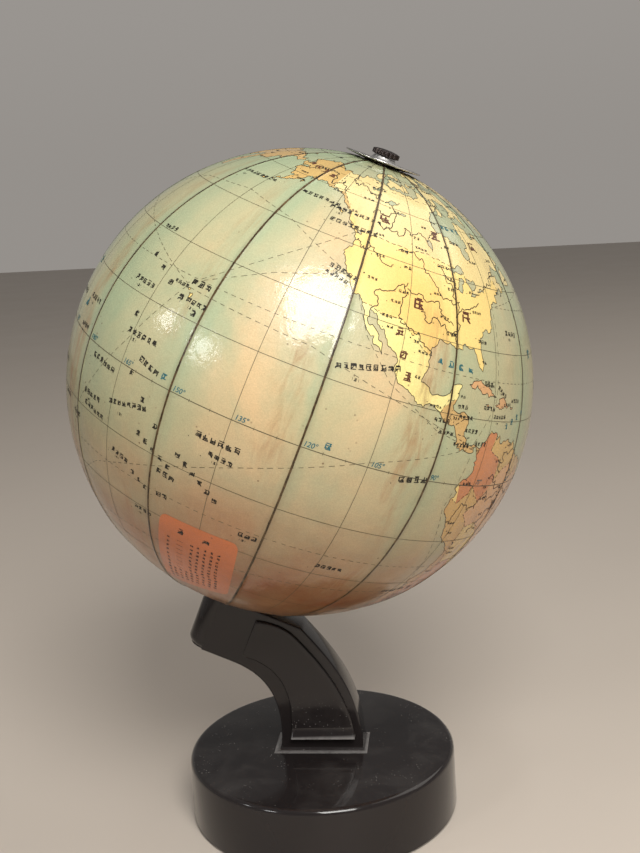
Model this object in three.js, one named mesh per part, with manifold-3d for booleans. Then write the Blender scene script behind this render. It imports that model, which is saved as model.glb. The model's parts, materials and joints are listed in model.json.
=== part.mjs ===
// Desk globe on a leaning axle: a round moulded base, a swept cantilever neck that holds the axle from
// below, and a hollow globe of two pasteboard shells covered with twelve paper gores.
// Millimetres, +Z up. The origin is the centre of the base on the table, and the north pole leans to +X.

import * as THREE from 'three';
import { mergeVertices } from 'three/addons/utils/BufferGeometryUtils.js';
import Module from 'manifold-3d';

const wasm = await Module();
wasm.setup();

// ---- Driving dimensions ------------------------------------------------------------------------

const TILT = THREE.MathUtils.degToRad(23.5);     // lean of the axle from the vertical
const GLOBE_CENTRE_HEIGHT = 318;
const GLOBE_RADIUS = 160;                        // outside of the paper
const ZERO_MERIDIAN = THREE.MathUtils.degToRad(37.3);   // azimuth of longitude 0 at rest
const GAP = 0.3;                                 // clearance between neighbouring pieces

const GORE_COUNT = 12;
const GORE_THICKNESS = 0.7;
const GORE_END_LATITUDE = 83;
const SHELL_WALL = 3.5;
const SHELL_LONGITUDES = 36;
const LATITUDE_STEP = 10;
const POLE_HOLE_RADIUS = 9;

const ROD_RADIUS = 3;
const ROD_BORE = ROD_RADIUS + GAP;
const ROD_TOP = 167.2;                           // along the axle from the globe's centre
const ROD_BOTTOM = -206;

const DISC_RADIUS = 26.2;
const DISC_THICKNESS = 0.9;
const DISC_SEAT = 159.3;                         // underside of the disc's flat middle
const DISC_RIM_LIFT = 1.7;
const COLLAR_TOP = 164.3;
const NUT_RIM_HEIGHT = 167.2;
const NUT_RIM_RADIUS = 9.3;
const NUT_TOP = 169.4;

const BOSS_TOP = -165;
const BOSS_BOTTOM = -209;
const BOSS_RADIUS = 13;
const COUNTERBORE_RADIUS = 9;
const COUNTERBORE_DEPTH = 12;

const BASE_HEIGHT = 46.2;
const BASE_LIFT = 1.5;                           // base moulding's edge above the table
const BASE_TOP_RADIUS = 97.6;
const BASE_BOTTOM_RADIUS = 98.3;
const BASE_WALL = 3.3;
const BASE_TOP_WALL = 4;
const BASE_RIM_FILLET = 3;
const BASE_SEGMENTS = 48;

const PLATE_RADIUS = 94;
const PLATE_BOTTOM = 2;
const PLATE_THICKNESS = 2.5;
const POST_CIRCLE_RADIUS = 84;
const POST_RADIUS = 5;
const PLATE_SCREW_RADIUS = 1.6;
const FOOT_CIRCLE_RADIUS = 74;
const FOOT_RADIUS = 8;

const BALLAST_RADIUS = 70;
const BALLAST_THICKNESS = 10;

const NECK_HALF_WIDTH = 12.5;
const NECK_BOTTOM = BASE_HEIGHT + GAP;
const PANEL_HALF_WIDTH = 15.2;
const FOOT_FLANGE = { length: 68.4, width: 33, height: 2, centreX: 0.6 };
const NECK_SCREW_X = [-15, 18];
const NECK_SCREW_RADIUS = 3;
const NECK_SCREW_TOP = 66;

// ---- Helpers -----------------------------------------------------------------------------------

// Turns a closed (or axis to axis) profile of [radius, height] points about +Z.
function turned(profile, segments = 24) {
  const points = profile.map(([radius, height]) => new THREE.Vector2(radius, height));
  return new THREE.LatheGeometry(points, segments).rotateX(Math.PI / 2);
}

// Extrudes a shape drawn in the X-Z plane, with the thickness shared equally between -Y and +Y.
function slab(shape, halfWidth, bevel, curveSegments) {
  const depth = 2 * (halfWidth - bevel);
  const geometry = new THREE.ExtrudeGeometry(shape, {
    depth,
    curveSegments,
    bevelThickness: bevel,
    bevelSize: bevel,
    bevelOffset: -bevel,
    bevelSegments: 1,
  });
  return geometry.translate(0, 0, -depth / 2).rotateX(Math.PI / 2);
}

function toSolid(geometry) {
  const bare = geometry.clone();
  bare.deleteAttribute('normal');
  bare.deleteAttribute('uv');
  const merged = mergeVertices(bare);
  const vertProperties = new Float32Array(merged.attributes.position.array);
  const triVerts = new Uint32Array(merged.index.array);
  return new wasm.Manifold(new wasm.Mesh({ numProp: 3, vertProperties, triVerts }));
}

function toGeometry(solid) {
  const mesh = solid.getMesh();
  const geometry = new THREE.BufferGeometry();
  geometry.setAttribute('position', new THREE.BufferAttribute(new Float32Array(mesh.vertProperties), 3));
  geometry.setIndex(new THREE.BufferAttribute(new Uint32Array(mesh.triVerts), 1));
  geometry.computeVertexNormals();
  return geometry;
}

// An upright cylinder between two heights.
function post(x, y, radius, bottom, top, segments = 16) {
  const geometry = new THREE.CylinderGeometry(radius, radius, top - bottom, segments);
  return geometry.rotateX(Math.PI / 2).translate(x, y, (bottom + top) / 2);
}

function arc(centreX, centreY, radius, fromDegrees, toDegrees, steps) {
  const points = [];
  for (let step = 0; step <= steps; step += 1) {
    const angle = THREE.MathUtils.degToRad(fromDegrees + (toDegrees - fromDegrees) * step / steps);
    points.push([centreX + radius * Math.cos(angle), centreY + radius * Math.sin(angle)]);
  }
  return points;
}

// A ring with a rectangular section.
function washer(innerRadius, outerRadius, bottom, top, segments = 24) {
  return turned([
    [innerRadius, bottom],
    [outerRadius, bottom],
    [outerRadius, top],
    [innerRadius, top],
    [innerRadius, bottom],
  ], segments);
}

function polar(radius, index, count, offset = 0) {
  const angle = offset + 2 * Math.PI * index / count;
  return [radius * Math.cos(angle), radius * Math.sin(angle)];
}

const material = {
  blackPlastic: () => new THREE.MeshStandardMaterial({ color: 0x1c1a1b, roughness: 0.25, metalness: 0 }),
  blackBoard: () => new THREE.MeshStandardMaterial({ color: 0x2a2826, roughness: 0.8, metalness: 0 }),
  rubber: () => new THREE.MeshStandardMaterial({ color: 0x222222, roughness: 0.9, metalness: 0 }),
  castIron: () => new THREE.MeshStandardMaterial({ color: 0x4a4846, roughness: 0.7, metalness: 0.8 }),
  steel: () => new THREE.MeshStandardMaterial({ color: 0x9a9a98, roughness: 0.35, metalness: 1 }),
  chrome: () => new THREE.MeshStandardMaterial({ color: 0xd8d8da, roughness: 0.1, metalness: 1 }),
  darkNut: () => new THREE.MeshStandardMaterial({ color: 0x2b2726, roughness: 0.35, metalness: 0.2 }),
  pasteboard: () => new THREE.MeshStandardMaterial({ color: 0xb9a37c, roughness: 0.9, metalness: 0 }),
  wood: () => new THREE.MeshStandardMaterial({ color: 0xb08a58, roughness: 0.7, metalness: 0 }),
  paper: () => new THREE.MeshStandardMaterial({ color: 0xa9a67c, roughness: 0.3, metalness: 0 }),
};

function addPiece(parent, name, geometry, finish) {
  const mesh = new THREE.Mesh(geometry, finish());
  mesh.name = name;
  parent.add(mesh);
  return mesh;
}

// ---- Frames: the table, the leaning axle, and the globe that turns about it ----------------------

const globeOnStand = new THREE.Group();
const axleFrame = new THREE.Group();
axleFrame.position.z = GLOBE_CENTRE_HEIGHT;
axleFrame.rotation.y = TILT;
globeOnStand.add(axleFrame);

const globeFrame = new THREE.Group();            // longitude L lies at azimuth L in this frame
globeFrame.rotation.z = ZERO_MERIDIAN;
axleFrame.add(globeFrame);

const axleMatrix = new THREE.Matrix4().makeRotationY(TILT).setPosition(0, 0, GLOBE_CENTRE_HEIGHT);

// A point of the X-Z plane, given along the axle and across it towards the neck's free end.
function besideAxle(along, across) {
  const x = along * Math.sin(TILT) - across * Math.cos(TILT);
  const z = GLOBE_CENTRE_HEIGHT + along * Math.cos(TILT) + across * Math.sin(TILT);
  return new THREE.Vector2(x, z);
}

// ---- Base --------------------------------------------------------------------------------------

function baseShell() {
  const innerRadius = BASE_BOTTOM_RADIUS - BASE_WALL;
  const underTop = BASE_HEIGHT - BASE_TOP_WALL;
  const profile = [
    [0, underTop],
    [innerRadius - BASE_RIM_FILLET, underTop],
    [innerRadius - 0.5, underTop - BASE_RIM_FILLET],
    [innerRadius, BASE_LIFT],
    [BASE_BOTTOM_RADIUS, BASE_LIFT],
    ...arc(BASE_TOP_RADIUS - BASE_RIM_FILLET, BASE_HEIGHT - BASE_RIM_FILLET, BASE_RIM_FILLET, 0, 90, 4),
    [0, BASE_HEIGHT],
  ];
  let solid = toSolid(turned(profile, BASE_SEGMENTS));
  const postBottom = PLATE_BOTTOM + PLATE_THICKNESS + GAP;
  for (let index = 0; index < 4; index += 1) {
    const [x, y] = polar(POST_CIRCLE_RADIUS, index, 4, Math.PI / 4);
    solid = solid.add(toSolid(post(x, y, POST_RADIUS, postBottom, underTop + 1)));
    solid = solid.subtract(toSolid(post(x, y, PLATE_SCREW_RADIUS + GAP, 0, postBottom + 13)));
  }
  for (const x of NECK_SCREW_X) {
    solid = solid.subtract(toSolid(post(x, 0, NECK_SCREW_RADIUS + GAP, underTop - 5, BASE_HEIGHT + 5)));
  }
  return toGeometry(solid);
}

function ballastPlate() {
  const top = BASE_HEIGHT - BASE_TOP_WALL - GAP;
  const bottom = top - BALLAST_THICKNESS;
  let solid = toSolid(post(0, 0, BALLAST_RADIUS, bottom, top, BASE_SEGMENTS));
  for (const x of NECK_SCREW_X) {
    solid = solid.subtract(toSolid(post(x, 0, NECK_SCREW_RADIUS + GAP, bottom - 5, top + 5)));
  }
  return toGeometry(solid);
}

function bottomPlate() {
  const top = PLATE_BOTTOM + PLATE_THICKNESS;
  let solid = toSolid(post(0, 0, PLATE_RADIUS, PLATE_BOTTOM, top, BASE_SEGMENTS));
  for (let index = 0; index < 4; index += 1) {
    const [x, y] = polar(POST_CIRCLE_RADIUS, index, 4, Math.PI / 4);
    solid = solid.subtract(toSolid(post(x, y, PLATE_SCREW_RADIUS + GAP, PLATE_BOTTOM - 2, top + 2)));
  }
  return toGeometry(solid);
}

// A pan-head screw that points up, with its head's seat at the given height.
function plateScrew() {
  const seat = PLATE_BOTTOM - GAP;
  return turned([
    [0, seat - 1.1],
    [2.6, seat - 1.1],
    [3.2, seat - 0.6],
    [3.2, seat],
    [PLATE_SCREW_RADIUS, seat],
    [PLATE_SCREW_RADIUS, seat + 13],
    [0, seat + 14.5],
  ], 16);
}

function hexScrew(x, seat, top) {
  const head = new THREE.CylinderGeometry(5.6, 5.6, 4, 6).rotateX(Math.PI / 2).translate(x, 0, seat - 2);
  const shank = post(x, 0, NECK_SCREW_RADIUS, seat - 1, top);
  return toGeometry(toSolid(head).add(toSolid(shank)));
}

addPiece(globeOnStand, 'base_shell', baseShell(), material.blackPlastic);
addPiece(globeOnStand, 'ballast_plate', ballastPlate(), material.castIron);
addPiece(globeOnStand, 'bottom_plate', bottomPlate(), material.blackBoard);

for (let index = 0; index < 4; index += 1) {
  const screw = addPiece(globeOnStand, `plate_screw_${index + 1}`, plateScrew(), material.steel);
  const [screwX, screwY] = polar(POST_CIRCLE_RADIUS, index, 4, Math.PI / 4);
  screw.position.set(screwX, screwY, 0);
  const [footX, footY] = polar(FOOT_CIRCLE_RADIUS, index, 4);
  const foot = post(footX, footY, FOOT_RADIUS, 0, PLATE_BOTTOM - GAP, 24);
  addPiece(globeOnStand, `foot_${index + 1}`, foot, material.rubber);
}

const ballastBottom = BASE_HEIGHT - BASE_TOP_WALL - GAP - BALLAST_THICKNESS;
NECK_SCREW_X.forEach((x, index) => {
  const ring = washer(NECK_SCREW_RADIUS + GAP, 8, ballastBottom - GAP - 1.5, ballastBottom - GAP);
  addPiece(globeOnStand, `neck_washer_${index + 1}`, ring.translate(x, 0, 0), material.steel);
  const seat = ballastBottom - 2 * GAP - 1.5;
  addPiece(globeOnStand, `neck_screw_${index + 1}`, hexScrew(x, seat, NECK_SCREW_TOP), material.steel);
});

// ---- Neck --------------------------------------------------------------------------------------

// Side view of the arm up to the axle's centre line, where the round boss takes over.
function armOutline() {
  const shoulder = besideAxle(BOSS_TOP, -62);
  const topAtAxle = besideAxle(BOSS_TOP, 0);
  const bottomAtAxle = besideAxle(BOSS_BOTTOM, 0);
  const throat = besideAxle(BOSS_BOTTOM, -24);
  const outline = new THREE.Shape();
  outline.moveTo(-29, NECK_BOTTOM);
  outline.lineTo(32, NECK_BOTTOM);
  outline.bezierCurveTo(31, 85, 22, 106, shoulder.x, shoulder.y);
  outline.lineTo(topAtAxle.x, topAtAxle.y);
  outline.lineTo(bottomAtAxle.x, bottomAtAxle.y);
  outline.lineTo(throat.x, throat.y);
  outline.bezierCurveTo(-33, 105, -24, 82, -29, NECK_BOTTOM);
  return outline;
}

// The raised panel on each face follows the arm at an even border and stops short of the boss.
function panelOutline() {
  const topCorner = besideAxle(BOSS_TOP - 6.5, -29.8);
  const bottomCorner = besideAxle(BOSS_BOTTOM + 11, -29.8);
  const outline = new THREE.Shape();
  outline.moveTo(-20.4, 58);
  outline.lineTo(26.5, 58);
  outline.bezierCurveTo(24, 82, 14, 106, -14.5, 137.2);
  outline.lineTo(topCorner.x, topCorner.y);
  outline.lineTo(bottomCorner.x, bottomCorner.y);
  outline.quadraticCurveTo(-50.5, 121, -44, 118.6);
  outline.bezierCurveTo(-21, 108, -17, 85, -20.4, 58);
  return outline;
}

function neckBody() {
  const arm = toSolid(slab(armOutline(), NECK_HALF_WIDTH, 1.2, 10));
  const panel = toSolid(slab(panelOutline(), PANEL_HALF_WIDTH, 1, 8));
  const flange = new THREE.BoxGeometry(FOOT_FLANGE.length, FOOT_FLANGE.width, FOOT_FLANGE.height);
  flange.translate(FOOT_FLANGE.centreX, 0, NECK_BOTTOM + FOOT_FLANGE.height / 2);
  const boss = turned([
    [0, BOSS_BOTTOM],
    ...arc(BOSS_RADIUS - 6, BOSS_BOTTOM + 6, 6, -90, 0, 4),
    [BOSS_RADIUS, BOSS_TOP],
    [0, BOSS_TOP],
  ], 32).applyMatrix4(axleMatrix);
  const bore = turned([
    [0, BOSS_BOTTOM - 10],
    [COUNTERBORE_RADIUS, BOSS_BOTTOM - 10],
    [COUNTERBORE_RADIUS, BOSS_BOTTOM + COUNTERBORE_DEPTH],
    [ROD_BORE, BOSS_BOTTOM + COUNTERBORE_DEPTH],
    [ROD_BORE, BOSS_TOP + 10],
    [0, BOSS_TOP + 10],
  ], 24).applyMatrix4(axleMatrix);
  let solid = arm.add(panel).add(toSolid(flange)).add(toSolid(boss)).subtract(toSolid(bore));
  for (const x of NECK_SCREW_X) {
    const pilot = post(x, 0, NECK_SCREW_RADIUS + GAP, NECK_BOTTOM - 5, NECK_SCREW_TOP + 2);
    solid = solid.subtract(toSolid(pilot));
  }
  return toGeometry(solid);
}

addPiece(globeOnStand, 'neck_body', neckBody(), material.blackPlastic);

// ---- Axle and what is stacked on it --------------------------------------------------------------

addPiece(axleFrame, 'axle_rod', post(0, 0, ROD_RADIUS, ROD_BOTTOM, ROD_TOP), material.steel);

const counterboreEnd = BOSS_BOTTOM + COUNTERBORE_DEPTH;
const lockWasherBottom = counterboreEnd - GAP - 1.5;
const lockWasher = washer(ROD_BORE, 8, lockWasherBottom, counterboreEnd - GAP);
addPiece(axleFrame, 'lock_washer', lockWasher, material.steel);

function hexNut(top, height) {
  const body = new THREE.CylinderGeometry(5.8, 5.8, height, 6).rotateX(Math.PI / 2);
  body.translate(0, 0, top - height / 2);
  const hole = post(0, 0, ROD_BORE, top - height - 2, top + 2);
  return toGeometry(toSolid(body).subtract(toSolid(hole)));
}

addPiece(axleFrame, 'lock_nut', hexNut(lockWasherBottom - GAP, 5), material.steel);

const discTop = DISC_SEAT + DISC_THICKNESS;
const spacerTop = -discTop - 2 * GAP - 1.5;
addPiece(axleFrame, 'spring_washer', washer(ROD_BORE, 8, -discTop - GAP - 1.5, -discTop - GAP), material.steel);
addPiece(axleFrame, 'south_spacer', washer(ROD_BORE, 9, BOSS_TOP + GAP, spacerTop), material.steel);

const collar = turned([
  [ROD_BORE, discTop + GAP],
  [9.2, discTop + GAP],
  [8.2, discTop + 1.2],
  [7.5, discTop + 2.6],
  [7.2, COLLAR_TOP],
  [ROD_BORE, COLLAR_TOP],
  [ROD_BORE, discTop + GAP],
], 32);
addPiece(axleFrame, 'north_collar', collar, material.chrome);

const thumbNut = turned([
  [0, ROD_TOP + 0.4],
  [ROD_BORE, ROD_TOP + 0.4],
  [ROD_BORE, COLLAR_TOP + GAP],
  [7, COLLAR_TOP + GAP],
  [7.4, COLLAR_TOP + 0.9],
  [NUT_RIM_RADIUS, NUT_RIM_HEIGHT - 1],
  [NUT_RIM_RADIUS, NUT_RIM_HEIGHT],
  [6.4, NUT_TOP - 0.9],
  [3.2, NUT_TOP - 0.2],
  [0, NUT_TOP],
], 32);
addPiece(axleFrame, 'thumb_nut', thumbNut, material.darkNut);

// ---- Globe ---------------------------------------------------------------------------------------

function meridian(radius, fromLatitude, toLatitude) {
  const points = [];
  const direction = Math.sign(toLatitude - fromLatitude);
  const at = (degrees) => {
    const latitude = THREE.MathUtils.degToRad(degrees);
    return [radius * Math.cos(latitude), radius * Math.sin(latitude)];
  };
  points.push(at(fromLatitude));
  let next = LATITUDE_STEP * (Math.floor(fromLatitude / LATITUDE_STEP) + 1);
  if (direction < 0) {
    next = LATITUDE_STEP * (Math.ceil(fromLatitude / LATITUDE_STEP) - 1);
  }
  while ((toLatitude - next) * direction > 0) {
    points.push(at(next));
    next += LATITUDE_STEP * direction;
  }
  points.push(at(toLatitude));
  return points;
}

const shellOuter = GLOBE_RADIUS - GORE_THICKNESS - GAP;
const shellInner = shellOuter - SHELL_WALL;

function hemisphere() {
  const seamLatitude = THREE.MathUtils.radToDeg(Math.asin(GAP / 2 / shellOuter));
  const outerEnd = THREE.MathUtils.radToDeg(Math.acos(POLE_HOLE_RADIUS / shellOuter));
  const innerEnd = THREE.MathUtils.radToDeg(Math.acos(POLE_HOLE_RADIUS / shellInner));
  const profile = [
    ...meridian(shellOuter, seamLatitude, outerEnd),
    ...meridian(shellInner, innerEnd, seamLatitude),
  ];
  profile.push(profile[0]);
  return turned(profile, SHELL_LONGITUDES);
}

addPiece(globeFrame, 'north_hemisphere', hemisphere(), material.pasteboard);
const southHemisphere = addPiece(globeFrame, 'south_hemisphere', hemisphere(), material.pasteboard);
southHemisphere.rotation.x = Math.PI;

// A band glued inside the seam. It narrows to both edges, as the shells do.
const equatorRing = turned([
  [shellInner - 4, -12],
  [shellInner - 1.7, -12],
  [shellInner - 0.4, 0],
  [shellInner - 1.7, 12],
  [shellInner - 4, 12],
  [shellInner - 4, -12],
], SHELL_LONGITUDES);
addPiece(globeFrame, 'equator_ring', equatorRing, material.pasteboard);

// A turned plug under each pole: its flange is glued inside the shell and its neck fills the pole hole.
const hubNeckTop = DISC_SEAT - GAP;
const hubFlangeTop = shellInner - 2.3;
const hub = turned([
  [ROD_BORE, hubFlangeTop - 6],
  [22, hubFlangeTop - 6],
  [22, hubFlangeTop],
  [POLE_HOLE_RADIUS - 0.5, hubFlangeTop],
  [POLE_HOLE_RADIUS - 0.5, hubNeckTop],
  [ROD_BORE, hubNeckTop],
  [ROD_BORE, hubFlangeTop - 6],
], 24);

// A thin pressed saucer whose rim stands off the paper.
const disc = turned([
  [ROD_BORE, DISC_SEAT],
  [12, DISC_SEAT],
  [19, DISC_SEAT + 0.5 * DISC_RIM_LIFT],
  [DISC_RADIUS, DISC_SEAT + DISC_RIM_LIFT],
  [DISC_RADIUS, DISC_SEAT + DISC_RIM_LIFT + DISC_THICKNESS],
  [19, DISC_SEAT + 0.5 * DISC_RIM_LIFT + DISC_THICKNESS],
  [12, discTop],
  [ROD_BORE, discTop],
  [ROD_BORE, DISC_SEAT],
], 36);

addPiece(globeFrame, 'north_hub', hub, material.wood);
addPiece(globeFrame, 'north_disc', disc, material.chrome);
addPiece(globeFrame, 'south_hub', hub, material.wood).rotation.x = Math.PI;
addPiece(globeFrame, 'south_disc', disc, material.chrome).rotation.x = Math.PI;

// One ring of paper from pole to pole, cut into equal wedges with parallel-sided seams.
function paperRing() {
  const outer = meridian(GLOBE_RADIUS, -GORE_END_LATITUDE, GORE_END_LATITUDE);
  const inner = meridian(GLOBE_RADIUS - GORE_THICKNESS, GORE_END_LATITUDE, -GORE_END_LATITUDE);
  return turned([...outer, ...inner, outer[0]], SHELL_LONGITUDES);
}

function wedge(index) {
  const halfAngle = Math.PI / GORE_COUNT;
  const reach = 2 * GLOBE_RADIUS;
  const apex = GAP / 2 / Math.sin(halfAngle);
  const sector = new THREE.Shape();
  sector.moveTo(apex, 0);
  sector.lineTo(apex + reach * Math.cos(halfAngle), -reach * Math.sin(halfAngle));
  sector.lineTo(apex + reach * Math.cos(halfAngle), reach * Math.sin(halfAngle));
  const geometry = new THREE.ExtrudeGeometry(sector, { depth: 2 * reach, bevelEnabled: false });
  return geometry.translate(0, 0, -reach).rotateZ(halfAngle * (2 * index + 1));
}

const ring = toSolid(paperRing());
for (let index = 0; index < GORE_COUNT; index += 1) {
  const name = `gore_${String(index + 1).padStart(2, '0')}`;
  addPiece(globeFrame, name, toGeometry(ring.intersect(toSolid(wedge(index)))), material.paper);
}

export default globeOnStand;
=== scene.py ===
import json
import math
import random

import bmesh
import bpy
import numpy as np
from mathutils import Matrix, Quaternion, Vector
from mathutils.geometry import delaunay_2d_cdt


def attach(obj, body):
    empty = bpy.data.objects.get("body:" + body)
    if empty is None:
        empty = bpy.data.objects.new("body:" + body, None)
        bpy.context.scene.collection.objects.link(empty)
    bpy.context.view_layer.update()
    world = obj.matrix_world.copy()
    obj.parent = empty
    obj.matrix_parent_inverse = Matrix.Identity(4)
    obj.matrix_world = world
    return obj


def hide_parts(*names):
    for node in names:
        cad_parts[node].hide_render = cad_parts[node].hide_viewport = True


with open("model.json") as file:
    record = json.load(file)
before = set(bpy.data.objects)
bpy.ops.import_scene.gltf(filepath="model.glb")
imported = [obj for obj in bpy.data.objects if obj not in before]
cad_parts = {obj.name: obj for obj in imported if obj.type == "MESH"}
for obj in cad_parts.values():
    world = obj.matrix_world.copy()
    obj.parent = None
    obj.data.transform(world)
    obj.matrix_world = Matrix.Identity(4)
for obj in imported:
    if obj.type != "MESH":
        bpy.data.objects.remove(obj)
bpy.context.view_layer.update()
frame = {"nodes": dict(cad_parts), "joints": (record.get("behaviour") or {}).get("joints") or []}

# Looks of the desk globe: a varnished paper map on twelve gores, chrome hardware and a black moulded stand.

# ---- Sizes, in metres, from the frame ------------------------------------------------------------

MM = 0.001
SPIN = next(joint for joint in frame["joints"] if joint["name"] == "globe_spin")
CENTRE = Vector(SPIN["pos_m"])
AXLE = Vector(SPIN["axis"]).normalized()
TILT = math.atan2(AXLE.x, AXLE.z)
ZERO_MERIDIAN = 37.3                       # degrees of azimuth of longitude 0 about the axle
RADIUS = 160 * MM
GORE_COUNT = 12
GORE_STEP = 360 / GORE_COUNT
MAP_EDGE = 83.6                            # the paper ends at this latitude, under the discs
SEAM_RISE = 0.36 * MM
SEAM_SPREAD = 1.5 * MM
INK_LIFT = 0.07 * MM

# The globe's own frame: local X and Y are azimuth 0 and 90 about the axle, Z is the axle.
GLOBE_X = Vector((math.cos(TILT), 0, -math.sin(TILT)))
AXLE_MATRIX = Matrix.Translation(CENTRE) @ Matrix.Rotation(TILT, 4, "Y")

# ---- The map: outlines in degrees east and north -------------------------------------------------

NORTH_AMERICA = """
-168,65.6 -162,66.4 -166.8,68.3 -162,70.2 -156.5,71.3 -148,70.4 -141,69.7 -136,69 -128,70.5 -124,69.5
-115,68.1 -108,68 -101,67.7 -96,68.3 -95,71.9 -92.5,71 -91,69.4 -87,67.4 -85.5,69.8 -81.5,69.1 -82,67
-87,64.8 -91,63.5 -94,61.4 -94.3,58.7 -92.5,57 -88,56.5 -82.5,55.2 -82,53 -80.5,51.3 -79,51.5 -79,54.6
-76.7,56.3 -78.3,59 -77.5,62.5 -73.5,62.3 -70,61 -69.8,59 -67.5,58.3 -64.6,60.3 -62,57.6 -60.3,55.5
-57,54 -55.8,52.3 -60,50.2 -66.3,50.2 -69.8,47.6 -68,48.6 -64.3,48.8 -65.3,47 -61.4,45.7 -63.6,44.6
-66,43.6 -64.9,45.4 -67,44.8 -70.3,43.6 -70.1,41.8 -74,40.6 -75.5,38.4 -76,36.9 -75.7,35.3 -77.8,34
-81.2,31.7 -81.3,30 -80.1,27 -80.4,25.2 -81.7,26 -82.8,28 -84,30.1 -87.5,30.3 -89.2,29.1 -91.4,29.4
-94,29.6 -97.2,27.8 -97.4,25.5 -97.8,22.4 -96.3,19.3 -94.6,18.2 -91.8,18.5 -90.4,19.9 -90.2,21 -87,21.5
-87.6,19.4 -88.5,16 -86,15.9 -83.2,15 -83.6,12.5 -83.6,10.9 -82.2,9.1 -79.8,9.5 -77.4,8.7 -77.9,7.2
-78.4,8.3 -79.5,8.9 -80.4,7.4 -82.9,8.2 -85.7,10.1 -87.6,12.9 -91.5,14 -94.2,16.1 -96.5,15.7 -99.8,16.8
-103.5,18.3 -105.5,20.4 -105.6,22.3 -108.4,25.2 -109.6,26.8 -112.2,29 -113.1,31.2 -114.8,31.8 -114.7,30.6
-112.9,28.3 -111.2,26 -109.5,23.1 -112.1,24.7 -112.3,26.4 -114.8,27.8 -115.9,30.3 -117.2,32.6 -118.6,34
-120.6,34.6 -122.4,37.3 -123.8,39.2 -124.4,40.5 -124,46.2 -124.7,48.3 -122.7,48.2 -123.4,49.2 -127.5,51
-130.3,54.4 -133.2,56.5 -136,58.4 -139.6,59.6 -144,60.1 -148,60.4 -151.8,59.3 -151,61.1 -154.1,59.2
-156.5,57.3 -160,55.9 -164.6,54.6 -161,56.1 -157.6,58.7 -162,58.7 -162.4,60.2 -165.4,61.6 -164.6,63.1
-161,63.6 -161.2,64.6 -166,64.5
"""
SOUTH_AMERICA = """
-77.4,8.7 -75.5,10.6 -71.7,12.4 -71.6,10.9 -70.2,12 -68,10.6 -64.5,10.3 -61.9,10.7 -60.8,8.5 -57.5,6.2
-52,4.8 -50,1.8 -50.6,0 -48.4,-1 -44.4,-2.5 -41.5,-2.9 -38.5,-3.7 -35.3,-5.2 -34.8,-7.5 -37,-11 -38.9,-13
-39.1,-17.5 -41,-22 -44.5,-23.2 -48.5,-25.8 -48.8,-28.5 -52.2,-32.3 -54,-34.7 -58.4,-34 -56.8,-36.6
-57.8,-38.2 -62.2,-38.9 -62.4,-40.8 -65,-41 -63.7,-42.5 -65.4,-44.9 -67.5,-46 -65.8,-47.9 -69.1,-51
-68.4,-52.4 -71.2,-53.8 -74.6,-52 -75.5,-47 -72.9,-42 -73.5,-39 -71.6,-33 -70.4,-25 -70.4,-18.4 -76,-14
-77.2,-12 -79.6,-8 -81.2,-6 -80.1,-3 -80.9,-1 -80,0.8 -78.7,1.5 -77.2,4 -77.9,7.2
"""
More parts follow.
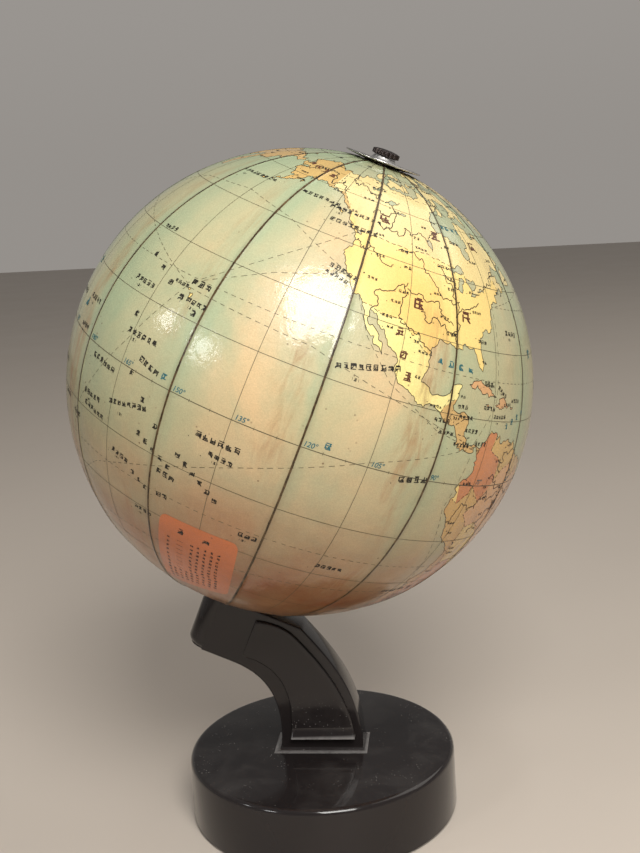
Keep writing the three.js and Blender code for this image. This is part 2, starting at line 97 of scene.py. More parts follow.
EURASIA = """
-9.2,43.2 -1.8,43.4 -1.2,46 -4.6,48.4 -1.5,48.7 1.6,50.6 4.2,52 7,53.5 8.6,53.9 8.2,57 10.6,57.7 10,55
11,54 14.3,54 18.5,54.7 21.1,55.3 21.2,57.3 24.2,57.2 23.5,59.3 29.7,59.9 22.8,60 21.3,62 25.3,65
22,65.3 17.3,61.5 18.8,59.8 16.5,57 14.2,55.4 12.8,55.6 11,59 8,58 5.4,59 5,61.8 9,63.6 13,66 16,68.8
20,70 25.7,71.1 31,70.3 41,67.7 39.5,66.2 33.5,66.8 37.5,64 40.2,64.8 44,66 44.3,68.3 54,68.4 60.5,69.3
67,68.8 67.5,71.3 70,73 73,71.3 73.3,67.8 75,72.5 81,73.5 87,75 98,76 104.3,77.6 113,75.6 110,74 127,73.3
130,71 140,72.6 150,71.5 160,69.7 170,70 177,69.5 184,67.3 190.2,66.1 187.5,64.6 181,65.4 177.5,64.6
179.3,62.4 170.5,60 163.4,58 162.6,56 160,53.2 156.7,51 155.8,55.5 163.5,61.6 160,61.8 154.5,59.4
143,59.3 135.3,54.7 141.3,52.8 140.4,48.5 135.5,44 131.8,43.2 127.6,39.7 129.4,37 129,35.1 126.3,34.5
126.7,37.6 124.8,39.8 121.3,38.9 121.8,40.8 117.9,39.1 119,37.3 122.5,37.2 119.3,35 121.9,31.7
121.8,29.2 119.5,25.7 116.5,22.9 110.5,21.2 108.3,21.6 105.8,19 108.9,15.3 109.2,12 106.7,10.3 104.9,8.7
104.9,10.4 102.5,12.2 100.8,13.4 99.4,10.8 100.5,7.3 103.3,4.4 104.2,1.4 101.6,2.8 100.3,5.8 98.4,8
98.6,12 97.5,16.6 94.4,16.1 94,19 91.6,22.6 88.5,21.7 86.6,20.1 82.3,16.6 80.2,15.2 79.8,10.4 77.5,8.1
74.8,13 72.8,19 72.6,21.4 70.4,20.9 68.9,22.5 66.8,24.9 61.5,25.1 57,26.9 54,26.6 50.6,29.7 48,30
48.6,28 50.2,26.4 51.2,26.1 51.6,24.3 54.3,24.2 56.3,26.1 56.9,24.2 59.8,22.5 57.8,19 55.1,17.4 52,15.6
45,12.8 43.4,12.7 42.6,16.5 39.1,21.5 35.2,28 34.6,28.2 32.6,29.9 32.5,31.2 34.5,31.6 36,35.2 36,36.8
32.5,36.1 30.5,36.5 27.5,36.8 26.4,39.3 29.3,40.9 31.4,41.4 35,42 38,41 41.5,41.6 37.2,45 39.2,47.1
35.2,46.2 33.5,44.5 32.6,46 30.7,46.4 28.3,43.5 28.3,41.6 26.2,40.7 23.8,40.6 22.8,39.4 24,37.9
23,36.5 21.6,37 19.4,40.5 19.4,41.8 15.2,44.3 13.7,45.6 12.3,45.1 13.7,43.4 18.4,40.3 16.8,40.4 16.1,38
15.5,40.1 10.5,42.9 8.8,44.4 4.5,43.4 3.2,42.1 -0.3,39.4 -2.1,36.8 -5.5,36.1 -8.9,37.1 -9.4,38.8
"""
AFRICA = """
-5.9,35.8 -2,35.1 3,36.9 10.3,37.3 10.7,34.2 15.2,32.3 20,30.6 20.5,32.8 25,31.6 32.5,31.2 32.6,29.9
35.5,24 37.3,20.9 38.7,18 43.2,12.4 44.5,10.5 51.2,11.9 47.8,4.3 41.5,-2 39.3,-5.5 40.6,-11 40.5,-15.3
34.9,-20 35.4,-24 32.8,-26.2 32.4,-29 28,-33 20,-34.8 18.3,-33.9 15.2,-27 11.8,-17.5 13.7,-11 12.2,-5.9
9,-1 9.6,3.7 4.3,6.4 -2,4.8 -7.6,4.4 -13.2,8.8 -16.8,12.5 -17.4,14.7 -16.2,19 -17,21 -13,27.8 -9.8,30
-6.8,34
"""
AUSTRALIA = """
113.7,-22.5 114.2,-26.3 115.7,-32 115,-34.3 118,-35 123.5,-34 131,-31.5 135.5,-34.9 137.8,-32.7
138.5,-35.6 140.5,-38 146.3,-39 150,-37.4 151.4,-33.4 153.5,-28.5 153,-25.2 149.5,-22.3 146.2,-19
145.4,-15 142.5,-10.8 141.6,-13.2 140.8,-17.5 139,-17.3 135.5,-14.9 136.8,-12.2 132.5,-11.3 129.7,-14.8
126,-14 122.2,-18 119,-20
"""
GREENLAND = """
-73,78.2 -68,76 -60,76 -55,72.5 -51,69.5 -53.6,67 -51,64 -48,61 -43.5,60 -42,62.5 -40,65 -33,67.6
-24,69.5 -21.5,72 -18,76.5 -12.5,81.3 -27,83 -42,83 -55,82 -65,80.4
"""
ANTARCTICA = """
-180,-78 -164,-78.4 -150,-76.6 -125,-73.9 -103,-74.8 -98,-72 -80,-73 -68,-69.5 -66.5,-66.8 -57.5,-63.3
-60.8,-66 -62,-70.5 -61,-74.5 -76,-78 -60,-80.5 -40,-78 -28,-76.3 -20,-73.4 -10,-71 0,-69.8 15,-69.6
33,-68.7 40,-69.2 50,-66.8 57,-66.8 70,-68.6 75,-69.6 80,-67.8 90,-66.7 110,-66.2 135,-66.2 150,-68.5
165,-70.7 171,-71.6 166,-75.5 164,-78 180,-78
"""
ISLANDS = """
-62,66.4 -68,70.2 -76,72.6 -80.8,73.6 -85,73.7 -89.5,73 -89.8,71.4 -79,69.8 -73.2,68.2 -73.5,65.9
-77.7,64.6 -73,64.2 -66,62 -65,65.4
/ -61.5,82.3 -70,83 -85,82.3 -91.5,81 -87,79 -89.5,76.6 -80,76.3 -76,78.5 -66,80.8
/ -117,69.6 -113.5,68.6 -105,69.1 -101.7,69 -105,72.7 -114.5,73.2 -118.5,72.1 -115,71
/ -125,72 -123,71.2 -119.5,72 -117.5,74.2 -124,74.2
/ -80,75.6 -80.5,74.6 -91.5,74.7 -91,76.5 -85,76.1
/ -96.5,72.5 -102,72.4 -100,73.9 -97.5,73.5
/ -90.5,73.8 -92.5,72.7 -95.2,72.2 -95.3,74
/ -106,75.1 -113,74.5 -117,75.3 -115,76.3 -108,75.9
/ -88,80.3 -87.5,79 -90,78.3 -95,79.1 -94.5,80.7
/ -80.3,63.8 -84,63.1 -87,63.6 -85.5,65.8 -82,64.7
/ -55.5,51.5 -53,48.6 -53,46.8 -56,46.9 -59.2,47.7 -57.4,50.2
/ -84.8,21.9 -82,23.1 -78,22.4 -74.3,20.2 -77.5,19.9 -78.3,20.9 -82,22.3
/ -73,19.9 -70,19.7 -68.5,18.5 -71.5,17.7 -74.4,18.4 -72.5,18.7
/ -78.3,18.4 -76.3,18.1 -77.5,17.8
/ -67.2,18.5 -65.7,18.4 -67.1,17.9
/ -128.2,50.7 -125,49.6 -123.5,48.4 -126,49.2
/ -133,54 -131.8,53 -131.3,52.2 -132.5,52.8
/ -155.9,20.2 -155,19.6 -155.7,19
/ -156.9,21 -156.1,20.9 -156.5,20.6
/ -154,57.6 -152.3,57.7 -153.8,56.8
/ -168.5,53.5 -166.5,54 -167.3,53.2
/ -72.9,-41.9 -73.6,-42 -74.3,-43.2 -73,-43.3
/ -68.6,-52.7 -65.2,-54.7 -68,-55.6 -71.5,-54.6 -70,-53.4
/ -61,-51.4 -57.9,-51.4 -59.3,-52.3
/ -24,65.5 -22.5,66.4 -16,66.4 -13.8,65 -18.5,63.5 -22.5,64
/ -5.5,50.1 1.2,51.2 1.6,52.8 0.2,53.2 -1.6,55.2 -2,57.5 -3.2,58.6 -5.3,58.2 -6,56.6 -4.9,54.8 -3.2,54.4
-4.5,53.2 -5,51.8 -3,51.4
/ -6.2,53.5 -5.7,54.7 -8,55.2 -10,53.8 -10,51.8 -6.5,52.2
/ 11,79.5 22,80.3 27,79.9 18,76.8 14,77.6
/ 51.6,71.5 55,73.5 60,76 68.3,76.8 61,75 56,72 57,70.7 53.5,70.8
/ 95.5,79.9 100,80.8 104.5,79 100,78
/ 138,75.8 147,75.2 143,73.5
/ 178.8,71.2 182.3,71.4 181,70.9
/ 12.5,38 15.5,38.2 15.1,36.8
/ 8.4,40.9 9.7,40.9 9.5,39.2 8.5,39
/ 8.7,42.5 9.5,42.9 9.2,41.5
/ 23.6,35.5 26.2,35.2 24.8,34.9
/ 32.4,35.1 34.5,35.6 33,34.6
/ 49.3,-12 50.4,-15.6 47.2,-25 45,-25.5 43.4,-22 44.5,-16.3 47.6,-14.8
/ 79.9,9.7 81.8,7.5 80.6,6 79.8,7.5
/ 95.3,5.6 97.8,4.8 100.5,2.2 103.8,-1 106,-3.2 105.7,-5.8 102.3,-4 99,0.2 96.5,3.5
/ 105.3,-6.8 108.6,-6.7 112.8,-7 114.5,-8.6 110,-8.1 106.4,-7.4
/ 109,1.5 111.4,2.5 115.5,5.5 117,7 119.2,5.2 117.7,1 116.3,-3.6 114,-3.5 110.2,-2.8
/ 119.6,-5.5 118.9,-2.8 120,0.8 125,1.6 120.5,0.2 121.3,-1.2 123.2,-0.9 121.8,-2 122.8,-4.6 120.9,-3
/ 131,-0.8 134,-0.8 135.2,-3.3 141,-2.6 145.8,-5 147.8,-6.4 150.8,-10.3 146.5,-9 144.5,-7.6 142,-9.2
138,-8.3 138,-5.6 133,-4
/ 120.6,18.4 122.2,18.4 121.6,15.8 124,12.8 121,13.8 120,16
/ 122,7 125.4,5.8 126.4,7.8 125.5,9.7 123.5,8.6
/ 121.5,25.2 120.9,22 120.1,23.3
/ 108.7,19.3 110.9,20 110.5,18.8 109.2,18.3
/ 130.9,34 132.7,35.5 136,35.8 137,37.3 139,38 140,40.5 141.4,41.3 142,39.5 140.9,35.8 138.8,34.7
136,33.6 135,34.6
/ 129.8,33.4 131.7,33.5 131.3,31.3 130.2,31.3
/ 132.5,33.9 134.5,34.2 133,32.8
/ 140,41.6 141.8,45.4 145.3,43.4 143.2,42
/ 142.2,54 143.3,52 143.4,49 142.8,46.8 142,47.2
/ 144.7,-40.8 148.3,-40.9 147.5,-43.3 146,-43.6
/ 172.7,-34.5 175.5,-36.7 178.5,-37.7 176.9,-40 175.2,-41.6 173.8,-39.3 174.8,-37.6
/ 172.8,-40.6 174.2,-41.7 171.3,-44.2 170.5,-46 168.4,-46.6 166.6,-45.8 170.5,-43
/ 164,-20.2 167,-22.2 166.3,-22.3
/ 148.5,-5.7 152,-4.3 151.5,-5.4 149,-6.3
/ 124,-9.3 127,-8.5 124.3,-10.2
"""
LAKES = """
-92,46.8 -89.5,48 -87,48.8 -84.8,47 -86,46.5 -88.6,47
/ -87.8,42.2 -87.8,44.4 -86,45.9 -85.2,45.2 -86.3,43.5 -86.7,42
/ -84.4,45.9 -81,46 -79.9,44.7 -81.7,43.4 -82.4,43.2 -83.4,44.5
/ -83.3,41.8 -81.3,42.6 -79,42.8 -81.5,41.8
/ -79.7,43.4 -77,43.9 -76.3,44 -76.6,43.5 -79,43.3
/ -97,50.6 -98.8,53 -97.7,53.8 -96.6,51.6
/ -117,61 -115,62.1 -109.6,62.8 -112,61.6 -114.5,60.9
/ -124.5,66 -120,67 -118,66.2 -122,65
/ -111,59 -109,59.3 -107,59.2 -109.5,58.8
/ 47.2,45.3 50,46.9 52.8,46.6 51.2,44.6 52.8,41.3 53.9,39 53.5,37 50,37.5 49,40.2 47.6,43
/ 58.5,44.5 60,46.4 61.6,45.6 60,43.8
/ 103.8,51.5 107,53 109.7,55.7 109,54 106,51.7
/ 31.8,-1 33.5,0.3 34.1,-1 32.8,-2.5
/ 29.4,-3.5 30.2,-5.5 31.1,-8.6 29.9,-6
/ 34.1,-10 34.8,-12 35,-14.2 34.3,-12.5
/ 30.8,60.2 31.2,61.5 32.7,61 31.8,60
/ 74,45 79,46.5 77,45.6
/ -70,-15.4 -69,-16.4 -69.5,-15.5
"""
RIVERS = """
-89.2,29.2 -91.5,31.5 -90,35.2 -89.2,37 -91,40.5 -91,43.5 -93.2,45 -95,47.2
/ -89.2,37 -87,38 -84,39 -80.3,40.5
/ -90.3,38.8 -94.6,39.1 -96,41.5 -98.5,43.5 -100.8,46.5 -104,48 -110,47.7
/ -91.2,33.8 -95,35.5 -99,37.6 -103,38.2 -106,39
/ -91.6,31.2 -94,33.6 -98,34 -101.5,34.8
/ -97.2,25.9 -99.5,27.5 -102.7,29.6 -106.5,31.8 -107,35 -106,37.5
/ -114.8,31.8 -114.5,35 -111.5,36.8 -109,38.5 -106,40.3
/ -124,46.3 -119,45.9 -119.8,48.5 -117.8,50.5
/ -119,46.2 -117,45 -114,43 -111,43.5
/ -135,69.2 -134,67.2 -128,65.2 -124,62.5 -117.5,61.2
/ -114,61 -111.5,58.7 -113,55 -117.5,53
/ -111.5,58.7 -117,57 -121,56
/ -164,62.8 -157,64 -150,65.3 -145,66.3 -138.5,64 -134,61
/ -92.5,57 -95,56 -98,54
/ -98,53.2 -105,53 -111,53 -116,51.8
/ -93,45.3 -88,43.3
/ -66.5,49.5 -71,46.8 -73.6,45.5 -76.3,44.2
/ -50.3,0 -54.7,-2.4 -60,-3.2 -65,-3.3 -70,-4.2 -74,-4.8 -77,-6.5 -78.3,-9.5
/ -60,-3.2 -63,-7 -65.3,-10.3 -66,-13
/ -60.2,-3.1 -62.5,-0.5 -67,1.5 -70,2
/ -54.7,-2.4 -57,-6 -58,-10
/ -51.5,-1.5 -52,-5 -53,-10 -54,-14
/ -48.6,-1.5 -49,-5.5 -48.5,-10 -49.5,-14
/ -61,8.8 -65,8 -67,5.5 -65,3
/ -58.4,-34 -60.5,-32 -58.8,-27.5 -54.5,-25.5 -51,-20 -47.5,-18
/ -58.6,-27.3 -57.7,-22 -57.8,-17
/ -36.5,-10.4 -40,-9 -43.5,-12 -45,-17
/ -62.8,-40.9 -66,-39 -70,-38.8
/ 31.2,31.3 31,27 33,23 32,19 33.5,17 32.6,15.5 32,10 31.6,5 32,2
/ 32.6,15.5 35,12 37.5,11.5
/ 12.4,-6 16,-4 17.8,0.5 22,2 25,0.5 26,-4 27,-9
/ 6,4.5 6.5,8 3.5,12 0,16.5 -5,14 -9,11.5
/ 36.2,-18.8 32,-16 28,-16.5 25,-17.5 22.5,-12
/ 16.5,-28.6 20,-28.5 25,-29.5 28,-27
/ 29.6,45.2 26,44 21.5,44.8 19,47.5 14,48.3 9,48
/ 4.2,52 7,51 8.3,48.8 8.5,47.5
/ 48,46 44.5,48.6 48.5,51.5 48.5,55.5 42,57 36,57
/ 66.5,66.6 69,61.5 72,58.5 77,60 83,55 85.5,52
/ 69,61 68,58 74,55 82,50.5
/ 82.5,71.5 87,67 89,61 93,57 92,52
/ 127,72.8 124,66 129.5,63 126,60 116,60 107,54.5
/ 141,53 135,48.7 127.5,50 120,53.3 114,50
/ 121.8,31.6 117,31 112,30.3 107,29.7 103,28.5 99,28 95,33.5
/ 119,37.7 114,35 110.5,35 110.8,40 107,40.5 104,36.5 98,34.5
/ 106.6,10 105,14 102,18 100.5,21 98,28
/ 90.5,23 88,25 82,25.5 78,28.5
/ 90.5,23 92,26.5 88,29.3 82,29.8
/ 67.5,24.2 69,28 72,32 74,35 80,33
/ 48,30.4 44.5,32.5 42,34.5 38.5,36.8
/ 48,30.6 46,32.5 44,34.5 41,37.5
/ 96,16.5 95,20 96,24 98,27
/ 139,-35.5 142,-34.2 145,-36 148,-36.2
/ 142,-34.1 145,-31 148.5,-29.5
"""
BORDERS = """
-123.2,49 -110,49 -95,49 -92,48.3 -89.6,48
/ -84.6,46.5 -84.4,45.9
/ -76.3,44.2 -74.8,45 -71.5,45 -70.3,46.2 -69.2,47.4 -67.8,47 -67.2,44.9
/ -141,69.7 -141,60.3 -137.5,59 -135,59.6 -133,58 -130.1,56
/ -117.2,32.5 -114.8,32.5 -111,31.3 -108.2,31.6 -106.5,31.8 -103,29 -101.4,29.8 -99.2,26.5 -97.3,25.9
/ -92.2,14.6 -91.5,16.1 -90.5,17.8 -89.1,17.9 -88.4,18.4
/ -89.3,14.4 -88.4,15.8 / -89.3,14.4 -87.7,13.3 / -87,13 -83.3,15 / -85.7,11.1 -83.7,10.9
/ -82.9,8.2 -82.6,9.5
/ -77.4,8.7 -77.9,7.2 / -71.3,11.9 -72.5,8.5 -67.5,6.2 -67,1.2 -69.8,1.7 -70,-4.2
/ -79,1.5 -75.3,0 -75.5,-2 -78.5,-4.6 -80.3,-3.5 / -75.3,0 -70,-4.2 -73.5,-7.3 -70.6,-9.5 -69.5,-11
-69,-17.5 -70.4,-18.4
/ -60.7,5.2 -64,4 -67,1.2 / -60.7,5.2 -59.8,8.2 / -57.2,5.9 -57.5,2 / -54.2,5.5 -54.5,2.3 -51.7,4
/ -60.7,5.2 -58,1.6 -54.5,2.3
/ -69.5,-11 -65.3,-10 -60.2,-13.8 -57.8,-18 -58,-20 -62.2,-22 -67,-22.8 -69,-17.5
/ -58,-20 -54.5,-23.9 -54.6,-25.6 -57.7,-27.4 -58,-23.5 -62.2,-22
/ -67,-22.8 -68.5,-27 -70,-33 -71.5,-40 -72,-50 -68.5,-52.3
/ -54.6,-25.6 -53.8,-27 -57.6,-30.3 -58.3,-34 / -57.6,-30.3 -53.4,-33.7
/ 25.7,71 29,69.5 30,62.8 28,60.6 / 20.5,69 24,65.8 / 11,59 12,63.5 15.5,66.3 20.5,69
/ 28,59.5 27.5,57.5 28,56 24,54 23.5,52 24,50.5 22.5,48.6 / 14.2,53.8 14.9,51 18.8,49.5 22.5,49
/ 6.2,50.8 8,49 7.5,47.6 / 2.5,51 6.2,49.8 / 7.5,47.6 13,47.6 17,48 22.8,48 / 7,46 7.5,43.8
/ -1.8,43.4 3.2,42.4 / 13.8,46.5 18.8,45.9 22.8,44.6 / 28.2,45.5 26.5,48 / 20.5,46.2 28.6,43.8
/ 41.5,41.6 45,40 48.8,38.4 / 36,36.8 42.4,37.2 44.8,37.2 45,40 / 45.5,36 48,30
/ 53.9,37.4 61,36.6 60.6,31 61.7,25.2 / 61,35.5 66.5,37.4 71.5,38 74.9,37.2 / 74.9,37.2 69.5,33.5 66.4,29.5
60.9,29.8
/ 49,46.5 47,49.5 51,51 61,51 61.5,54 70,55 76.5,54 80,50.9 87.3,49.1
/ 74.9,37.2 73.8,39.8 80.2,42.2 82.5,45.3 87.3,49.1 97,50 106,50.3 116.7,49.8 120,53.3 127.5,50 131,47.8
133.1,45
/ 87.8,49 91,45.2 97,42.7 105,41.6 112,43.5 119.8,46.7 116.7,49.8
/ 124.3,40 130.6,42.4 / 78.9,34 81,30.2 88.8,27.9 92,27.6 97.3,28.3 98,24 101.2,21.5 105.3,23.3 108,21.5
/ 74.5,37 77.8,35.5 78.9,34 / 68.2,23.7 70.5,28 74.5,32.5 77.8,35.5 / 97.5,16 98.8,17 100.1,20.3
/ 102.1,22.3 104.8,18.8 107.5,14.5 106,11
/ 34.9,29.5 39,32 44.7,29.2 48,28.6 / 42.5,16.5 47,17 52,19 55,22.7 52,24.2
/ 25,31.6 25,22 37,22 / 10.5,33 9.5,30.2 11.9,23.5 -4.8,25 -8.7,27.3 / 25,20 16,23 11.9,23.5
/ -8.7,27.3 -8.7,26 -13,26 -13,21.3 -17,21 / 0,21 4,19 15,16.5 15.5,23 / -5,16 -12,14.8 -16.5,16
/ 24,20 24,15.7 22.5,11 27.5,9.5 34,10 36.5,14.5 38.6,18 / 14,13 15,7.5 14.5,2.2 9.8,2.3 / 18,3.5 27.4,5
/ 30.8,3.5 34,4.2 41.9,3.9 41.5,-1.6 / 29.5,-1 34,-1 37.6,-3 39.2,-4.7 / 29.3,-4.4 30.8,-8.3 34.5,-11.6
40.4,-10.5
/ 12.3,-6 16.6,-6 22,-7.3 24,-11 24,-13 22,-13 22,-16.2 / 11.8,-17.3 18.5,-17.4 25.2,-17.8
/ 20,-28.4 20,-22 21,-18.3 / 16.5,-28.6 20,-28.4 / 20,-25 25.5,-25.7 29.4,-22.2 31.3,-22.4 33,-19.8 30.4,-15.6
/ 141,-2.6 141,-9.1 / 129,-14.9 129,-31.7 / 138,-16.5 138,-26 / 141,-26 141,-38 / 129,-26 141,-26
/ 141,-29 149,-29 153.5,-28.2
"""
ROUTES = """
-122.5,37.6 -140,31.5 -158,21.8 -178,28 -200,34 -219,35
/ -122.5,37.6 -145,45.5 -165,48.5 -190,46.5 -219,36
/ -79.6,8.7 -100,14 -125,20 -157.5,21.2
/ -79.6,8.7 -105,1 -130,-9 -149.5,-17.5 -170,-26 -186,-36
/ -157.5,21.2 -166,5 -176,-10 -182,-18 -186,-35
/ -118.4,33.7 -114,26 -106,18 -92,11 -79.6,8.2
/ -124.5,48.5 -138,38 -157,22.2
/ -72,-33.2 -76,-20 -82,-6 -79.7,7
/ -72,-33.2 -100,-35 -140,-38 -175,-41
/ -5.8,35.9 -25,38 -50,40.5 -73.8,40.5
/ -5,49 -30,50 -50,44.5 -73.5,40.4
/ -79.8,9.6 -74,19.5 -73.8,40.2
/ -35,-8 -25,8 -17.6,15 -12,34 -9.8,44
/ 18,-34.5 5,-18 -10,3 -18.5,15
/ 32.6,29.8 38,20.5 43.2,12.5 60,10.5 79,6 95,6 103.5,1.3
/ 20,-36 50,-30 80,-30 114.5,-32.5
/ 51,11.5 45,-5 41.5,-15 36,-26
/ 104.5,1.5 111,10 114,21.8 122,26 139,34.5
/ 103.5,1 106,-6 110,-20 114.3,-31.8
/ 115,-34.6 130,-36 150,-40 170,-40.5
/ 152,-33.8 165,-35 174.8,-36.5
"""

# Rough areas of one printed tint. Only the land inside them is coloured, so they overlap the sea freely.
TINTS = """
orange -170,72 -141,72 -141,59.9 -137.5,58.9 -135,59.8 -132,57 -129.5,55 -136,50 -175,50
/ cream -141,84 -50,84 -50,46 -67,44.7 -67.8,47.2 -69.2,47.4 -71.5,45 -74.8,45 -79,43.2 -82.6,41.9 -82.3,45.2
-84.6,46.5 -88.5,48.3 -92,48.3 -95,49 -124,49 -129.5,55 -132,57 -135,59.8 -137.5,58.9 -141,59.9
/ yellow -124,49 -95,49 -92,48.3 -88.5,48.3 -84.6,46.5 -82.3,45.2 -82.6,41.9 -79,43.2 -74.8,45 -71.5,45
-69.2,47.4 -67.8,47.2 -67,44.7 -60,40 -78,24 -90,26 -97.3,25.9 -99.2,26.5 -101.4,29.8 -103,29 -106.5,31.8
-108.2,31.6 -111,31.3 -114.8,32.5 -130,32.5 -130,49
/ lemon -118,32.5 -114.8,32.5 -111,31.3 -108.2,31.6 -106.5,31.8 -103,29 -101.4,29.8 -99.2,26.5 -97.3,25.9
-86,24 -86,19.5 -89.1,17.9 -91.5,16.1 -92.2,14.6 -100,12 -120,20
/ salmon -92.2,14.6 -91.5,16.1 -89.1,17.9 -86,19 -80,12 -77.4,8.7 -77.9,7.2 -84,6 -93,12
/ peach -85,24 -60,24 -60,17 -85,17
/ rose -80.5,1.5 -78.5,-4.6 -75.5,-2 -75.3,0 -70,-4.2 -67,1.2 -67.5,6.2 -72.5,8.5 -71.3,12.5 -80,12 -82,5
/ orange -71.3,12.5 -72.5,8.5 -67.5,6.2 -67,1.2 -64,4 -60.7,5.2 -59.5,8.5 -58,12
/ salmon -60.7,5.2 -58,1.6 -54.5,2.3 -51.7,4 -48,8 -60,9
/ peach -67,1.2 -64,4 -60.7,5.2 -58,1.6 -54.5,2.3 -51.7,4 -45,5 -30,-5 -35,-25 -50,-34 -57.6,-30.3 -53.8,-27
-54.5,-24 -58,-20 -57.8,-18 -60.2,-13.8 -65.3,-10 -69.5,-11 -70.6,-9.5 -73.5,-7.3 -70,-4.2
/ orange -85,-3.4 -80.3,-3.5 -78.5,-4.6 -75.5,-2 -75.3,0 -70,-4.2 -73.5,-7.3 -70.6,-9.5 -69.5,-11 -69,-17.5
-70.4,-18.4 -78,-18
/ yellow -69.5,-11 -65.3,-10 -60.2,-13.8 -57.8,-18 -62.2,-22 -67,-22.8 -69,-17.5
/ salmon -70.4,-18.4 -69,-17.5 -67,-22.8 -68.5,-27 -70,-33 -71.5,-40 -72,-50 -68.5,-52.3 -68.6,-56
-80,-56 -80,-18
/ rose -67,-22.8 -62.2,-22 -57.7,-27.4 -53.8,-27 -57.6,-30.3 -58.3,-34 -55,-40 -60,-56 -68.6,-56
-72,-50 -70,-33
/ salmon 27.5,57.5 28,56 24,54 23.5,52 22.5,48.6 30,44 37,44 48,41 49,46.5 47,49.5 51,51 61,51 61.5,54 70,55
76.5,54 80,50.9 87.3,49.1 97,50 106,50.3 116.7,49.8 120,53.3 127.5,50 131,47.8 133,43 150,43 192,60
192,84 29,84 29,69.5 30,62.8 28,60.6
/ rose 48,41 54,37.4 61,36.6 66.5,37.4 71.5,38 74.9,37.2 80.2,42.2 87.3,49.1 80,50.9 76.5,54 70,55 61.5,54
61,51 51,51 47,49.5 49,46.5
/ yellow 73.8,39.8 74.9,37.2 77.8,35.5 78.9,34 81,30.2 88.8,27.9 92,27.6 97.3,28.3 98,24 101.2,21.5 105.3,23.3
108,21.5 112,17 124,24 124,40 130.6,42.4 133,47.8 127.5,50 120,53.3 116.7,49.8 119.8,46.7 112,43.5 105,41.6
97,42.7 91,45.2 87.8,49 82.5,45.3 80.2,42.2
/ peach 87.8,49 91,45.2 97,42.7 105,41.6 112,43.5 119.8,46.7 116.7,49.8 106,50.3 97,50
/ orange 68,23.7 70.5,28 74.5,32.5 77.8,35.5 81,30.2 88.8,27.9 92,27.6 97.3,28.3 92,20 80,5 72,8 66,20
/ cream 61,25 60.6,31 61,36.6 71.5,38 77.8,35.5 74.5,32.5 70.5,28 68,23.7 64,23
/ rose 42.4,37.2 45,40 48.8,38.4 54,37.4 61,36.6 60.6,31 61.7,24 52,26 48,30 45.5,36
/ yellow 34,29 39,32 44.7,29.2 48,28.6 52,24.2 60,26 62,20 45,12 42,13 34,27
/ salmon 128,30 150,30 150,46 128,46
/ cream 92,27.6 98,24 101.2,21.5 100.1,20.3 98.8,17 99,6 90,14
/ lemon 100,21 108,22 112,10 104,7 98,5 105,0 99,14
/ peach 94,6 105,0 141,0 141,-12 94,-12
/ cream 26,42 45,42 45,37 36,36 26,36
/ yellow -10,44 4,43 4,35 -10,35
/ orange -6,49 3,51 8,49 7,43 -2,43
/ rose 3,51 7,54 15,55 15,50.5 8,47.5
/ cream -12,60 3,60 2,50.5 -12,50
/ lemon 6.8,46 14,47 14,44 19,40 15,36 8,38 7,43
/ peach 4,58 11,59 12,63.5 20.5,69 28,72 10,72
/ lemon 10,59 12,63.5 20.5,69 24,65.8 18,55 12,55
/ cream -19,27.5 -8.7,27.3 -4.8,25 11.9,23.5 16,23 25,20 25,22 37,22 38.6,18 36.5,14.5 34,10 22.5,11 14,13
15,16.5 4,19 0,21 -5,16 -12,14.8 -19,16
/ orange 11.9,23.5 25,20 25,33 9,33 9.5,30.2
/ yellow -10,37 11,38 9.5,30.2 11.9,23.5 -4.8,25 -8.7,27.3 -10,29
/ rose 25,22 37,22 36,32 25,32
/ salmon 36.5,14.5 34,10 34,4.2 41.9,3.9 43,-2 53,5 53,13 43,13
/ lemon 12,-6 16.6,-6 22,-7.3 24,-11 30,-9 29.3,-4.4 30.8,3.5 27.4,5 18,3.5
/ peach 30.8,3.5 34,4.2 41.9,3.9 43,-2 41,-11 34.5,-11.6 30.8,-8.3 29.3,-4.4
/ rose 11,-6 22,-7.3 24,-13 22,-16.2 25.2,-17.8 11,-17.5
/ yellow 11,-17.5 21,-18 20,-28.4 14,-29
/ orange 16,-28.6 20,-25 29.4,-22.2 33,-26 36,-36 15,-36
/ salmon 43,-11 51,-11 51,-27 42,-27
/ peach 112,-10 129,-10 129,-36 112,-36
/ yellow 129,-10 141,-10 141,-26 129,-26
/ rose 141,-10 155,-10 155,-29 141,-29
/ cream -75,59 -10,59 -10,84 -75,84
/ cream -180,-60 360,-60 360,-90 -180,-90
"""

# ---- Map geometry ---------------------------------------------------------------------------------


def outlines(text):
    """The separate outlines of a block of text: each is a list of (longitude, latitude)."""
    return [[tuple(map(float, pair.split(","))) for pair in part.split()] for part in text.split("/")]


def roughened(points, closed, rng, amount=0.16, smallest=0.9):
    """A coast or river with natural wander: each long edge is split and its middle pushed sideways."""
    ends = points + points[:1] if closed else points
    result = [ends[0]]

    def split(a, b):
        length = math.hypot(b[0] - a[0], b[1] - a[1])
        if length <= smallest:
            result.append(b)
            return
        push = rng.gauss(0, amount)
        middle = ((a[0] + b[0]) / 2 - push * (b[1] - a[1]), (a[1] + b[1]) / 2 + push * (b[0] - a[0]))
        split(a, middle)
        split(middle, b)

    for a, b in zip(ends, ends[1:]):
        split(a, b)
    return result[:-1] if closed else result


def resampled(points, step):
    """The same line with points added, so that none are further apart than the step in degrees."""
    result = [points[0]]
    for a, b in zip(points, points[1:]):
        count = max(1, math.ceil(math.hypot(b[0] - a[0], b[1] - a[1]) / step))
        result += [(a[0] + (b[0] - a[0]) * k / count, a[1] + (b[1] - a[1]) * k / count)
                   for k in range(1, count + 1)]
    return result


